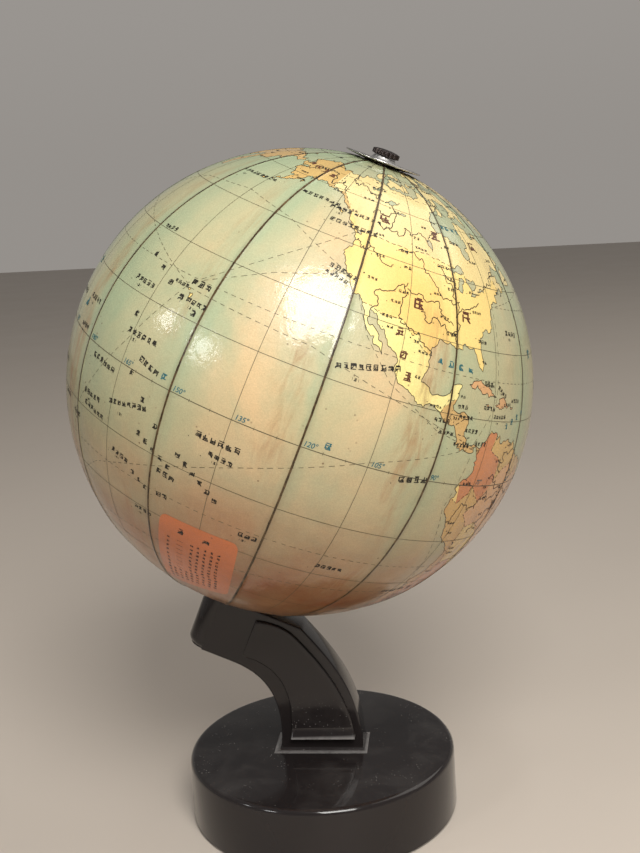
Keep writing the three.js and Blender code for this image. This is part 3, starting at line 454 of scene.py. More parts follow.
def inside(lons, lats, outline):
    """Even-odd test of many places against one outline."""
    hit = np.zeros(len(lons), bool)
    xs = np.array([p[0] for p in outline])
    ys = np.array([p[1] for p in outline])
    for x0, y0, x1, y1 in zip(xs, ys, np.roll(xs, -1), np.roll(ys, -1)):
        if y0 == y1:
            continue
        crosses = (y0 > lats) != (y1 > lats)
        hit ^= crosses & (lons < x0 + (lats - y0) * (x1 - x0) / (y1 - y0))
    return hit


def on_paper(lons, lats, lift=0.0):
    """(places, normals) on the globe's paper. The paper rises gently towards each seam."""
    lons = np.asarray(lons, float)
    lats = np.radians(np.asarray(lats, float))
    azimuth = np.radians(lons + ZERO_MERIDIAN)
    x_axis, y_axis, z_axis = (np.array(v) for v in (GLOBE_X, Vector((0, 1, 0)), AXLE))
    outward = (np.outer(np.cos(lats) * np.cos(azimuth), x_axis)
               + np.outer(np.cos(lats) * np.sin(azimuth), y_axis) + np.outer(np.sin(lats), z_axis))
    east = np.outer(-np.sin(azimuth), x_axis) + np.outer(np.cos(azimuth), y_axis)
    offset = (lons + GORE_STEP / 2) % GORE_STEP - GORE_STEP / 2
    distance = np.radians(offset) * RADIUS * np.cos(lats)
    rise = SEAM_RISE * np.exp(-(distance / SEAM_SPREAD) ** 2)
    slope = rise * -2 * distance / SEAM_SPREAD ** 2
    places = np.array(CENTRE) + outward * (RADIUS + rise + lift)[:, None]
    normals = outward - east * slope[:, None]
    return places, normals / np.linalg.norm(normals, axis=1)[:, None]


DASH_STEP = 0.25
POLE_SHRINK = 0.05                         # keeps the width of a line finite beside the poles


class Ink:
    """Collects flat printed shapes in degrees, and turns them into one mesh that lies on the paper."""

    def __init__(self):
        self.points = []
        self.faces = []

    def patch(self, corners):
        """One flat shape from its corners in degrees."""
        first = len(self.points)
        self.points += corners
        self.faces.append(tuple(range(first, first + len(corners))))

    def line(self, points, width, step=0.6):
        """A printed line of a width in metres, with a point at least every step in degrees."""
        points = resampled(points, step)
        half = math.degrees(width / 2 / RADIUS)
        first = len(self.points)
        for index, (lon, lat) in enumerate(points):
            before = points[max(index - 1, 0)]
            after = points[min(index + 1, len(points) - 1)]
            shrink = max(math.cos(math.radians(lat)), POLE_SHRINK)
            east, north = (after[0] - before[0]) * shrink, after[1] - before[1]
            length = math.hypot(east, north) or 1
            side_east, side_north = -north / length * half / shrink, east / length * half
            self.points += [(lon + side_east, lat + side_north), (lon - side_east, lat - side_north)]
        for index in range(len(points) - 1):
            k = first + 2 * index
            self.faces.append((k, k + 1, k + 3, k + 2))

    def dashes(self, points, width, dash, space):
        """A dashed line: dash and space are in degrees along it."""
        points = resampled(points, DASH_STEP)
        run, travelled, previous = [points[0]], 0.0, points[0]
        for point in points[1:]:
            shrink = math.cos(math.radians(point[1]))
            travelled += math.hypot((point[0] - previous[0]) * shrink, point[1] - previous[1])
            previous = point
            if travelled % (dash + space) < dash:
                run.append(point)
            elif run:
                if len(run) > 1:
                    self.line(run, width)
                run = []
        if len(run) > 1:
            self.line(run, width)

    def stroke(self, lon, lat, turn, start, end, width):
        """A straight stroke between two points in metres from (lon, lat), turned by an angle."""
        shrink = math.cos(math.radians(lat))
        along = (end[0] - start[0], end[1] - start[1])
        length = math.hypot(*along) or 1
        side = (-along[1] / length * width / 2, along[0] / length * width / 2)
        corners = []
        for x, y in ((start[0] - side[0], start[1] - side[1]), (end[0] - side[0], end[1] - side[1]),
                     (end[0] + side[0], end[1] + side[1]), (start[0] + side[0], start[1] + side[1])):
            east = x * math.cos(turn) - y * math.sin(turn)
            north = x * math.sin(turn) + y * math.cos(turn)
            corners.append((lon + math.degrees(east / RADIUS) / shrink, lat + math.degrees(north / RADIUS)))
        self.patch(corners)

    def ring(self, lon, lat, radius, sides):
        """A filled dot of a radius in metres."""
        shrink = math.cos(math.radians(lat))
        size = math.degrees(radius / RADIUS)
        angles = [2 * math.pi * k / sides for k in range(sides)]
        self.patch([(lon + size * math.cos(a) / shrink, lat + size * math.sin(a)) for a in angles])

    def piece(self, name, material, lift=INK_LIFT):
        """Everything collected so far, as one piece at a height over the paper."""
        lons, lats = zip(*self.points)
        places, normals = on_paper(lons, lats, lift)
        return map_piece(name, places, normals, self.faces, [material])


def into_scene(piece):
    bpy.context.scene.collection.objects.link(piece)


def map_piece(name, places, normals, faces, materials, material_of=None, map_place=None):
    """A piece of the printed surface. map_place is what the paper's material reads at each vertex."""
    mesh = bpy.data.meshes.new(name)
    mesh.from_pydata(places.tolist(), [], faces)
    for material in materials:
        mesh.materials.append(material)
    if material_of is not None:
        mesh.polygons.foreach_set("material_index", material_of)
    if map_place is not None:
        layer = mesh.attributes.new("map_place", "FLOAT_VECTOR", "POINT")
        layer.data.foreach_set("vector", np.asarray(map_place, np.float32).ravel())
    mesh.polygons.foreach_set("use_smooth", [True] * len(mesh.polygons))
    mesh.update()
    mesh.normals_split_custom_set_from_vertices(normals.tolist())
    piece = bpy.data.objects.new(name, mesh)
    into_scene(piece)
    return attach(piece, "globe")


# ---- The printed map ------------------------------------------------------------------------------

RNG = random.Random(1976)
COASTS = [roughened(outlines(text)[0], True, RNG) for text in
          (NORTH_AMERICA, SOUTH_AMERICA, EURASIA, AFRICA, AUSTRALIA, GREENLAND)]
COASTS += [roughened(outline, True, RNG, smallest=0.7) for outline in outlines(ISLANDS)]
ICE_EDGE = roughened(outlines(ANTARCTICA)[0], False, RNG)
ICE_LAND = ICE_EDGE + [(180, -90), (-180, -90)]
LAKE_SHORES = [roughened(outline, True, RNG, smallest=0.7) for outline in outlines(LAKES)]
TINT_NAMES = ("yellow", "orange", "cream", "lemon", "peach", "salmon", "rose")


CUT_STEP = 1.3                             # longest edge, in degrees, that is cut into a gore's sheet
PAPER_ROWS = 85


def shifted(outline, turn):
    return [(lon + turn, lat) for lon, lat in outline]


def gore_columns(west):
    """Longitudes of the paper's grid: close together beside the seams, where the paper rises."""
    near = (0.0, 0.2, 0.42, 0.7, 1.1)
    middle = np.linspace(2, GORE_STEP - 2, 14)
    return [west + x for x in (*near, *middle, *(GORE_STEP - x for x in reversed(near)))]


def gore(index, materials):
    """One printed gore as a curved sheet. Coasts, lakes and tints are cut into it as edges."""
    west = index * GORE_STEP
    east = west + GORE_STEP
    lons = gore_columns(west)
    lats = np.linspace(-MAP_EDGE, MAP_EDGE, PAPER_ROWS)
    points = [(lon, lat) for lon in lons for lat in lats]
    rows = len(lats)
    edges = [(c * rows + r, c * rows + r + 1) for c in (0, len(lons) - 1) for r in range(rows - 1)]
    edges += [(c * rows + r, (c + 1) * rows + r) for c in range(len(lons) - 1) for r in (0, rows - 1)]

    def near_gore(outline):
        for turn in (0, 360):
            moved = shifted(outline, turn)
            if any(west - 0.1 < lon < east + 0.1 for lon, lat in moved):
                yield moved

    lands = [m for outline in COASTS + [ICE_LAND] for m in near_gore(outline)]
    lakes = [m for outline in LAKE_SHORES for m in near_gore(outline)]
    tints = []
    for part in TINTS.split("/"):
        tint, area = part.split(maxsplit=1)
        tints += [(TINT_NAMES.index(tint), shifted(outlines(area)[0], turn)) for turn in (0, 360)]

    def add_edges(outline):
        outline = resampled(outline + outline[:1], CUT_STEP)
        for a, b in zip(outline, outline[1:]):
            if max(a[0], b[0]) < west or min(a[0], b[0]) > east or max(abs(a[1]), abs(b[1])) > 89:
                continue
            edges.append((len(points), len(points) + 1))
            points.extend((a, b))

    for outline in lands + lakes + [outline for _, outline in tints]:
        add_edges(outline)
    vertices, _, faces, *_ = delaunay_2d_cdt([Vector(p) for p in points], edges, [], 0, 1e-5, False)
    vertices = np.array([tuple(v) for v in vertices])
    faces = np.array(faces)
    centres = vertices[faces].mean(axis=1)
    keep = ((centres[:, 0] > west) & (centres[:, 0] < east) & (np.abs(centres[:, 1]) < MAP_EDGE))
    faces, centres = faces[keep], centres[keep]
    dry = np.zeros(len(faces), bool)
    for outline in lands:
        dry |= inside(centres[:, 0], centres[:, 1], outline)
    for outline in lakes:
        dry &= ~inside(centres[:, 0], centres[:, 1], outline)
    kind = dry.astype(int)
    painted = np.zeros(len(faces), bool)
    for tint, outline in tints:
        chosen = dry & ~painted & inside(centres[:, 0], centres[:, 1], outline)
        kind[chosen] = tint + 1
        painted |= chosen
    used, renumbered = np.unique(faces.ravel(), return_inverse=True)
    vertices = vertices[used]
    vertices[:, 0] = np.clip(vertices[:, 0], west, east)
    vertices[:, 1] = np.clip(vertices[:, 1], -MAP_EDGE, MAP_EDGE)
    faces = renumbered.reshape(-1, 3)
    across = (vertices[:, 0] - west) / GORE_STEP
    inner = vertices[:, 0] - np.where(across > 0.5, 1e-6, -1e-6)
    places, normals = on_paper(inner, vertices[:, 1])
    place = np.column_stack([vertices / 100, across])
    name = f"gore_{index + 1:02d}"
    piece = map_piece(f"{name}_paper", places, normals, faces.tolist(), materials, kind.tolist(), place)
    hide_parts(name)


# ---- Materials --------------------------------------------------------------------------------------


MIX_A, MIX_B, MIX_RESULT = 6, 7, 2         # the colour sockets of a Mix node


class Finish:
    """A node material, with short calls for the nodes it needs."""

    def __init__(self, name, colour, roughness, metallic=0.0, **sockets):
        self.material = bpy.data.materials.new(name)
        self.material.use_nodes = True
        self.tree = self.material.node_tree
        self.shader = self.tree.nodes["Principled BSDF"]
        self.shader.inputs["Base Color"].default_value = (*colour, 1)
        self.shader.inputs["Roughness"].default_value = roughness
        self.shader.inputs["Metallic"].default_value = metallic
        for socket, value in sockets.items():
            self.shader.inputs[socket.replace("_", " ").title().replace("Ior", "IOR")].default_value = value
        self.material.diffuse_color = (*colour, 1)

    def node(self, kind, **inputs):
        """A new node, with its inputs by name (an underscore stands for a space)."""
        node = self.tree.nodes.new(kind)
        for key, value in inputs.items():
            self.feed(node.inputs[key.replace("_", " ")], value)
        return node

    def feed(self, socket, value):
        """Links or sets one input."""
        if isinstance(value, bpy.types.NodeSocket):
            self.tree.links.new(value, socket)
        else:
            socket.default_value = value

    def place(self):
        """The place on the object, in metres."""
        return self.node("ShaderNodeTexCoord").outputs["Object"]

    def noise(self, scale, detail=4.0, roughness=0.55, vector=None, distortion=0.0):
        node = self.node("ShaderNodeTexNoise", Scale=scale, Detail=detail, Roughness=roughness,
                         Distortion=distortion)
        self.feed(node.inputs["Vector"], vector or self.place())
        return node.outputs["Fac"]

    def ramp(self, value, low, high, start=0.0, end=1.0):
        """Start at low, end at high, straight between them."""
        node = self.node("ShaderNodeMapRange", Value=value)
        for key, number in zip(("From Min", "From Max", "To Min", "To Max"), (low, high, start, end)):
            node.inputs[key].default_value = number
        return node.outputs["Result"]

    def maths(self, operation, a, b=0.0):
        node = self.tree.nodes.new("ShaderNodeMath")
        node.operation = operation
        node.use_clamp = operation in ("MULTIPLY", "ADD")
        self.feed(node.inputs[0], a)
        self.feed(node.inputs[1], b)
        return node.outputs[0]

    def times(self, *factors):
        product = factors[0]
        for factor in factors[1:]:
            product = self.maths("MULTIPLY", product, factor)
        return product

    def stored(self, name, output):
        """A value that the mesh stores at each vertex."""
        node = self.node("ShaderNodeAttribute")
        node.attribute_name = name
        return node.outputs[output]

    def stretched(self, vector, scale):
        node = self.node("ShaderNodeMapping", Vector=vector)
        node.inputs["Scale"].default_value = scale
        return node.outputs["Vector"]

    def mix(self, factor, a, b, blend="MIX"):
        node = self.tree.nodes.new("ShaderNodeMix")
        node.data_type = "RGBA"
        node.blend_type = blend
        self.feed(node.inputs["Factor"], factor)
        for socket, value in ((node.inputs[MIX_A], a), (node.inputs[MIX_B], b)):
            self.feed(socket, value if isinstance(value, bpy.types.NodeSocket) else (*value, 1))
        return node.outputs[MIX_RESULT]

    def curve(self, value, stops, signed=False):
        """A smooth curve through (position, level) stops. A signed one takes positions from -1 to 1."""
        node = self.node("ShaderNodeValToRGB", Fac=self.ramp(value, -1, 1) if signed else value)
        node.color_ramp.interpolation = "EASE"
        places = [(p + 1) / 2 if signed else p for p, _ in stops]
        while len(node.color_ramp.elements) < len(stops):
            node.color_ramp.elements.new(0.5)
        for element, place, (_, level) in zip(node.color_ramp.elements, places, stops):
            element.position = place
            element.color = (level, level, level, 1)
        return node.outputs["Color"]

    def bump(self, height, distance, normal=None):
        node = self.node("ShaderNodeBump", Height=height, Distance=distance)
        if normal is not None:
            self.feed(node.inputs["Normal"], normal)
        return node.outputs["Normal"]

    def colour(self, value):
        self.feed(self.shader.inputs["Base Color"], value)

    def rough(self, value):
        self.feed(self.shader.inputs["Roughness"], value)

    def relief(self, normal, coat=None):
        self.feed(self.shader.inputs["Normal"], normal)
        if coat is not None:
            self.feed(self.shader.inputs["Coat Normal"], coat)


VARNISH = dict(coat_weight=0.72, coat_roughness=0.13, coat_ior=1.5)
INK_GLOSS = dict(specular_ior_level=0.3, coat_roughness=0.13)
STAIN_BROWN = (0.37, 0.22, 0.095)
# Painted shade and a painted reflection of a reddish-brown table, laid on the paper towards the south.
PAINTED_UNDERSIDE_BROWN = (0.25, 0.067, 0.012)
DEEP_BROWN = (0.14, 0.075, 0.03)
WHOLE_TURN = 3.6                           # 360 degrees, as the paper's map_place stores them

# How the paper has aged, and where painted warm light and painted shade lie on it, as curves of (place,
# strength). ACROSS runs over one gore from its west seam
# (0) to its east seam (1), NORTH is the latitude / 100, and EAST is the longitude as a share of a turn.
YELLOW_ACROSS = ((0, 0.36), (0.16, 0.62), (0.4, 0.92), (0.7, 1), (0.92, 0.66), (1, 0.36))
YELLOW_NORTH = ((-1, 1), (0.4, 1), (0.64, 0.4))
# Over the longitudes that face the lamp: partly sun-faded paper, partly painted warm light and sheen.
SUNNED_AND_LIT_EAST = ((0.5, 0.42), (0.57, 0.6), (0.62, 1), (0.74, 1), (0.8, 0.6))
STAIN_ACROSS = ((0.62, 0), (0.77, 0.92), (0.84, 0.85), (0.94, 0))
STAIN_NORTH = ((-0.85, 1), (-0.3, 1), (0.15, 0.95), (0.4, 0.5), (0.7, 0.2))
# How strongly the painted shade and reflection lie, by latitude: strongest in the south.
UNDERSIDE_NORTH = ((-0.6, 1), (-0.4, 1), (-0.27, 0.74), (-0.06, 0.24), (0.12, 0))
GRIME_ACROSS = ((0, 0.7), (0.02, 0.25), (0.05, 0), (0.95, 0), (0.98, 0.25), (1, 0.7))


def printed(name, fresh, aged):
    """Printed paper under old varnish, yellowing within each gore and stained brown near its east seam, with
    painted warm light on the side facing the lamp and painted shade and a painted reddish-brown reflection
    towards the south.
    """
    finish = Finish(name, fresh, 0.42, **VARNISH)
    spot = finish.stored("map_place", "Vector")
    axes = finish.node("ShaderNodeSeparateXYZ", Vector=spot)
    east, north, across = axes.outputs["X"], axes.outputs["Y"], axes.outputs["Z"]
    along = finish.stretched(spot, (9, 3.5, 1.2))
    wander = finish.ramp(finish.noise(1.7, 3, 0.6, along), 0.3, 0.7, -0.09, 0.09)
    place = finish.maths("ADD", across, wander)

    clouds = finish.ramp(finish.noise(13, 5, 0.6, distortion=0.5), 0.34, 0.62, 0.35, 1.0)
    # Partly sun-faded paper and partly painted warm light: the yellowing is strongest on the side of the
    # globe that faces the lamp.
    sunned_and_lit = finish.curve(finish.maths("DIVIDE", east, WHOLE_TURN), SUNNED_AND_LIT_EAST)
    yellowing_and_lit = finish.times(finish.curve(place, YELLOW_ACROSS), finish.curve(north, YELLOW_NORTH, True),
                            sunned_and_lit)
    colour = finish.mix(finish.times(clouds, yellowing_and_lit), fresh, aged)

    fibres = finish.stretched(spot, (34, 8, 3))
    mottle = finish.ramp(finish.noise(1.5, 6, 0.65, fibres, 0.7), 0.36, 0.66)
    patchy = finish.ramp(finish.noise(10, 3, 0.6), 0.42, 0.56, 0.1, 1)
    stain = finish.times(finish.curve(place, STAIN_ACROSS), mottle, patchy,
                         finish.curve(north, STAIN_NORTH, True))
    colour = finish.mix(stain, colour, STAIN_BROWN)

    # Painted shade and painted reddish-brown reflection towards the south, a little stronger on the side
    # facing the lamp.
    painted_underside = finish.times(finish.curve(north, UNDERSIDE_NORTH, True), finish.ramp(sunned_and_lit, 0.5, 1, 0.75, 1),
                            finish.ramp(finish.noise(15, 5, 0.6), 0.3, 0.6, 0.62, 1))
    colour = finish.mix(painted_underside, colour, PAINTED_UNDERSIDE_BROWN)
    grime = finish.times(finish.curve(across, GRIME_ACROSS), finish.noise(60, 3))
    colour = finish.mix(grime, colour, DEEP_BROWN)
    specks = finish.node("ShaderNodeTexVoronoi", Scale=130.0, Vector=finish.place())
    dots = finish.ramp(specks.outputs["Distance"], 0.04, 0.11, 0.85, 0.0)
    colour = finish.mix(finish.times(dots, finish.ramp(finish.noise(38, 3), 0.5, 0.6)), colour, DEEP_BROWN)
    grain = finish.mix(finish.ramp(finish.noise(1300, 2), 0.3, 0.7), (0.9, 0.9, 0.9), (1.06, 1.06, 1.06))
    finish.colour(finish.mix(1.0, colour, grain, "MULTIPLY"))

    finish.rough(finish.ramp(finish.noise(28, 4), 0.3, 0.7, 0.34, 0.56))
    swells = finish.bump(finish.noise(16, 2, 0.4), 0.0016)
    wrinkles = finish.bump(finish.noise(95, 4, 0.6), 0.0004, swells)
    finish.relief(finish.bump(finish.noise(900, 2), 0.00005, wrinkles), wrinkles)
    return finish.material


def ink(name, colour):
    """Printing ink under a thin varnish. Its colour is even; its gloss and surface follow the paper."""
    finish = Finish(name, colour, 0.45, coat_weight=0.2, **INK_GLOSS)
    finish.rough(finish.ramp(finish.noise(28, 4), 0.3, 0.7, 0.36, 0.58))
    swells = finish.bump(finish.noise(16, 2, 0.4), 0.0016)
    finish.relief(finish.bump(finish.noise(900, 2), 0.00002, swells), swells)
    return finish.material


def seam_paint(name, colour, light):
    """The dark border line at each gore's edge: worn, uneven and dirty."""
    finish = Finish(name, colour, 0.4, coat_weight=0.25, **INK_GLOSS)
    finish.colour(finish.mix(finish.ramp(finish.noise(160, 5, 0.7), 0.42, 0.7), colour, light))
    finish.rough(finish.ramp(finish.noise(90, 3), 0.3, 0.7, 0.28, 0.5))
    ridge = finish.bump(finish.noise(260, 4), 0.00018)
    finish.relief(ridge, ridge)
    return finish.material


# Grey of dust, which on the neck panel also paints a reflected sheen.
DUST_AND_SHEEN_GREY = (0.30, 0.28, 0.26)
# Grey of rubbed plastic, which also paints a highlight along the neck panel's lip and the skirt's foot.
RUBBED_AND_LIT_GREY = (0.19, 0.18, 0.175)


def black_moulding(name):
    """Glossy black plastic: fine orange peel, scuffs, rubbed edges, and dust on what faces up. Where a piece
    stores its marks, the rubbed grey also paints a highlight and the dust grey also paints a sheen.
    """
    finish = Finish(name, (0.012, 0.0105, 0.011), 0.16, specular_ior_level=0.22, coat_weight=0.4,
                    coat_roughness=0.06)
    up = finish.node("ShaderNodeSeparateXYZ", Vector=finish.node("ShaderNodeNewGeometry").outputs["Normal"])
    dust_and_sheen = finish.stored("dust_and_sheen", "Fac")
    # Where dust lies: on what faces up, and where a piece stores its dust mark; on the neck panel that mark
    # also paints a grey sheen.
    level = finish.maths("MAXIMUM", finish.ramp(up.outputs["Z"], 0.55, 0.98), dust_and_sheen)
    haze = finish.ramp(finish.noise(24, 6, 0.65, distortion=0.5), 0.46, 0.78, 0.0, 0.55)
    specks = finish.node("ShaderNodeTexVoronoi", Scale=420.0, Vector=finish.place())
    sparse = finish.maths("MAXIMUM", finish.ramp(finish.noise(52, 4, 0.7), 0.53, 0.66), dust_and_sheen)
    grains = finish.times(finish.ramp(specks.outputs["Distance"], 0.1, 0.17, 0.8, 0.0), sparse)
    dust_and_sheen_cover = finish.times(finish.maths("ADD", finish.times(haze, 0.16), grains), level)
    # Rubbed wear, and a painted highlight where a piece's wear mark asks for it.
    rubbed_and_lit = finish.times(finish.stored("wear_and_highlight", "Fac"),
                          finish.ramp(finish.noise(160, 5, 0.7), 0.2, 0.6, 0.5, 1))
    warm = finish.mix(finish.noise(9, 3), (0.010, 0.0088, 0.0095), (0.022, 0.017, 0.016))
    finish.colour(finish.mix(rubbed_and_lit, finish.mix(dust_and_sheen_cover, warm, DUST_AND_SHEEN_GREY), RUBBED_AND_LIT_GREY))
    scuffs = finish.ramp(finish.noise(38, 6, 0.7, distortion=1.2), 0.45, 0.75, 0.1, 0.26)
    dull = finish.maths("ADD", finish.times(dust_and_sheen_cover, 0.6), finish.times(rubbed_and_lit, 0.2))
    finish.rough(finish.maths("ADD", scuffs, dull))
    peel = finish.bump(finish.noise(210, 2), 0.00003)
    finish.relief(finish.bump(grains, 0.00006, peel), peel)
    return finish.material


def worn_metal(name, colour, dull, roughness, scratch=0.00002, scale=300):
    """Metal with duller patches of tarnish and fine scratches of a depth in metres."""
    finish = Finish(name, colour, roughness, 1.0)
    tarnish = finish.ramp(finish.noise(95, 6, 0.7), 0.45, 0.72)
    finish.colour(finish.mix(tarnish, colour, dull))
    finish.rough(finish.ramp(finish.noise(scale, 4, 0.7), 0.3, 0.75, roughness * 0.7, roughness * 1.8))
    finish.relief(finish.bump(finish.noise(scale * 4, 3), scratch))
    return finish.material


def solid_finish(name, colour, dark, roughness, scale, depth, stretch=(1, 1, 1)):
    """An unpolished body: fibre, rubber, pasteboard, wood or cast iron."""
    finish = Finish(name, colour, roughness)
    place = finish.stretched(finish.place(), stretch)
    grain = finish.noise(scale, 6, 0.65, place, 0.3)
    finish.colour(finish.mix(finish.ramp(grain, 0.35, 0.68), colour, dark))
    finish.rough(finish.ramp(grain, 0.3, 0.7, roughness * 0.85, min(1, roughness * 1.15)))
    finish.relief(finish.bump(finish.noise(scale * 3, 4, 0.6, place), depth))
    return finish.material


BLACK = black_moulding("black_moulding")
CHROME = worn_metal("polished_chrome", (0.68, 0.67, 0.65), (0.40, 0.36, 0.32), 0.17)
SATIN_CHROME = worn_metal("satin_chrome", (0.58, 0.575, 0.565), (0.42, 0.40, 0.37), 0.4, 0.00003)
STEEL = worn_metal("zinc_steel", (0.55, 0.55, 0.54), (0.33, 0.3, 0.27), 0.32, 0.00004)
DARK_NUT = worn_metal("browned_nut", (0.055, 0.045, 0.042), (0.12, 0.1, 0.09), 0.3, 0.00004)
CAST_IRON = worn_metal("cast_iron", (0.16, 0.15, 0.14), (0.2, 0.11, 0.06), 0.6, 0.0003, 120)
RUBBER = solid_finish("rubber", (0.022, 0.022, 0.022), (0.04, 0.038, 0.036), 0.85, 500, 0.00008)
FIBRE = solid_finish("black_fibre_board", (0.045, 0.04, 0.035), (0.075, 0.066, 0.055), 0.8, 240, 0.0001)
PASTEBOARD = solid_finish("pasteboard", (0.46, 0.36, 0.23), (0.33, 0.24, 0.14), 0.9, 160, 0.00015)
WOOD = solid_finish("turned_wood", (0.42, 0.26, 0.13), (0.26, 0.14, 0.065), 0.6, 90, 0.0001, (1, 1, 6))

OCEAN = printed("paper_ocean", (0.32, 0.41, 0.25), (0.68, 0.49, 0.265))
LAND_TINTS = {
    "yellow": ((0.88, 0.69, 0.25), (0.86, 0.56, 0.17)),
    "orange": ((0.62, 0.42, 0.14), (0.60, 0.33, 0.10)),
    "cream": ((0.80, 0.67, 0.31), (0.76, 0.52, 0.19)),
    "lemon": ((0.90, 0.80, 0.34), (0.84, 0.68, 0.25)),
    "peach": ((0.72, 0.42, 0.20), (0.60, 0.31, 0.13)),
    "salmon": ((0.62, 0.41, 0.16), (0.52, 0.30, 0.10)),
    "rose": ((0.62, 0.24, 0.09), (0.50, 0.17, 0.05)),
}
PAPER = [OCEAN] + [printed(f"paper_{tint}", *LAND_TINTS[tint]) for tint in TINT_NAMES]
LEGEND_PAPER = printed("paper_legend", (0.86, 0.23, 0.065), (0.74, 0.19, 0.05))
INK_BLACK = ink("ink_black", (0.016, 0.013, 0.009))
INK_LINE = ink("ink_graticule", (0.105, 0.09, 0.05))
INK_BROWN = ink("ink_brown", (0.10, 0.035, 0.018))
INK_RIVER = ink("ink_river", (0.034, 0.026, 0.016))
INK_BLUE = ink("ink_blue", (0.02, 0.125, 0.145))
SEAM_PAINT = seam_paint("seam_paint", (0.034, 0.020, 0.007), (0.15, 0.09, 0.036))

# ---- Printed lines and marks ------------------------------------------------------------------------

HAIRLINE = 0.34 * MM
COAST_WIDTH = 0.42 * MM
SEAM_LINE_WIDTH = 0.7 * MM
SEAM_DRIFT_STEP = 0.42
LABEL_SCALE = 1.24
GLYPH_PITCH = 1.1
TROPIC = 23.5
POLAR_CIRCLE = 66.5
GRID_STEP = 15
TICK_STEP = 5


def printed_lines():
    """The grid, the sea routes, coasts, rivers and borders, and the dark double line along each seam."""
    graticule = Ink()
    for lon in range(0, 360, GRID_STEP):
        if lon % GORE_STEP:
            graticule.line([(lon, -MAP_EDGE), (lon, MAP_EDGE)], HAIRLINE)
    for lat in range(-75, 76, GRID_STEP):
        if lat:
            graticule.line([(0, lat), (360, lat)], HAIRLINE)
    graticule.line([(0, 0), (360, 0)], 1.5 * HAIRLINE)
    for lat in (-POLAR_CIRCLE, -TROPIC, TROPIC, POLAR_CIRCLE):
        graticule.dashes([(0, lat), (360, lat)], HAIRLINE, 1.2, 0.8)
    for outline in outlines(ROUTES):
        graticule.dashes(outline, HAIRLINE, 1.4, 0.7)
    for lon in range(0, 360, TICK_STEP):
        graticule.line([(lon, -0.35), (lon, 0.35)], HAIRLINE)
    graticule.piece("graticule_lines", INK_LINE)

    coasts = Ink()
    for outline in COASTS + LAKE_SHORES:
        coasts.line(outline + outline[:1], COAST_WIDTH)
    coasts.line([p for p in ICE_EDGE if abs(p[1]) < MAP_EDGE], COAST_WIDTH)
    coasts.piece("coast_lines", INK_RIVER, 1.3 * INK_LIFT)

    rivers = Ink()
    for outline in outlines(RIVERS):
        rivers.line(roughened(outline, False, RNG, 0.24), 1.65 * HAIRLINE)
    rivers.piece("river_lines", INK_RIVER, 1.2 * INK_LIFT)

    borders = Ink()
    for outline in outlines(BORDERS):
        borders.dashes(roughened(outline, False, RNG, 0.05), 1.15 * HAIRLINE, 1.1, 0.35)
    borders.piece("border_lines", INK_BLACK, 1.4 * INK_LIFT)

    seams = Ink()
    for index in range(GORE_COUNT):
        for side in (-1, 1):
            points = []
            drift = 0.0
            for lat in np.arange(-MAP_EDGE, MAP_EDGE, SEAM_DRIFT_STEP):
                drift = 0.8 * drift + RNG.uniform(-0.07, 0.07)
                apart = math.degrees((0.3 + drift) * MM / RADIUS) / math.cos(math.radians(lat))
                points.append((index * GORE_STEP + side * apart, lat))
            seams.line(points, SEAM_LINE_WIDTH)
    seams.piece("gore_seam_lines", SEAM_PAINT, 1.7 * INK_LIFT)


def glyph(sheet, lon, lat, turn, x, size, rng):
    """A small square made of strokes: it stands for one printed character and spells nothing."""
    pen = 0.118 * size
    half = 0.42 * size
    for row in rng.sample((-0.9, -0.5, -0.1, 0.3, 0.65, 0.95), rng.choice((3, 3, 4))):
        reach = rng.uniform(0.5, 1.0)
        sheet.stroke(lon, lat, turn, (x - half * reach, half * row), (x + half * reach, half * row), pen)
    for column in rng.sample((-0.8, -0.35, 0.1, 0.5, 0.85), 2):
        low, high = rng.uniform(-1, -0.3), rng.uniform(0.4, 1)
        across = x + half * column
        sheet.stroke(lon, lat, turn, (across, half * low), (across, half * high), 1.3 * pen)
    lean = rng.choice((-1, 1)) * half
    sheet.stroke(lon, lat, turn, (x, 0), (x + lean * 0.95, -half), 1.2 * pen)


def words(sheet, lon, lat, count, size, rng, turn=0.0):
    for index in range(count):
        glyph(sheet, lon, lat, turn, (index + 0.5) * size * GLYPH_PITCH, size, rng)


def bracketed(sheet, lon, lat, size, rng):
    """The small mark in brackets below an island's name."""
    glyph(sheet, lon, lat, 0, 0, size, rng)
    for x in (-0.95, 0.95):
        sheet.stroke(lon, lat, 0, (x * size, -0.4 * size), (x * size, 0.4 * size), 0.1 * size)


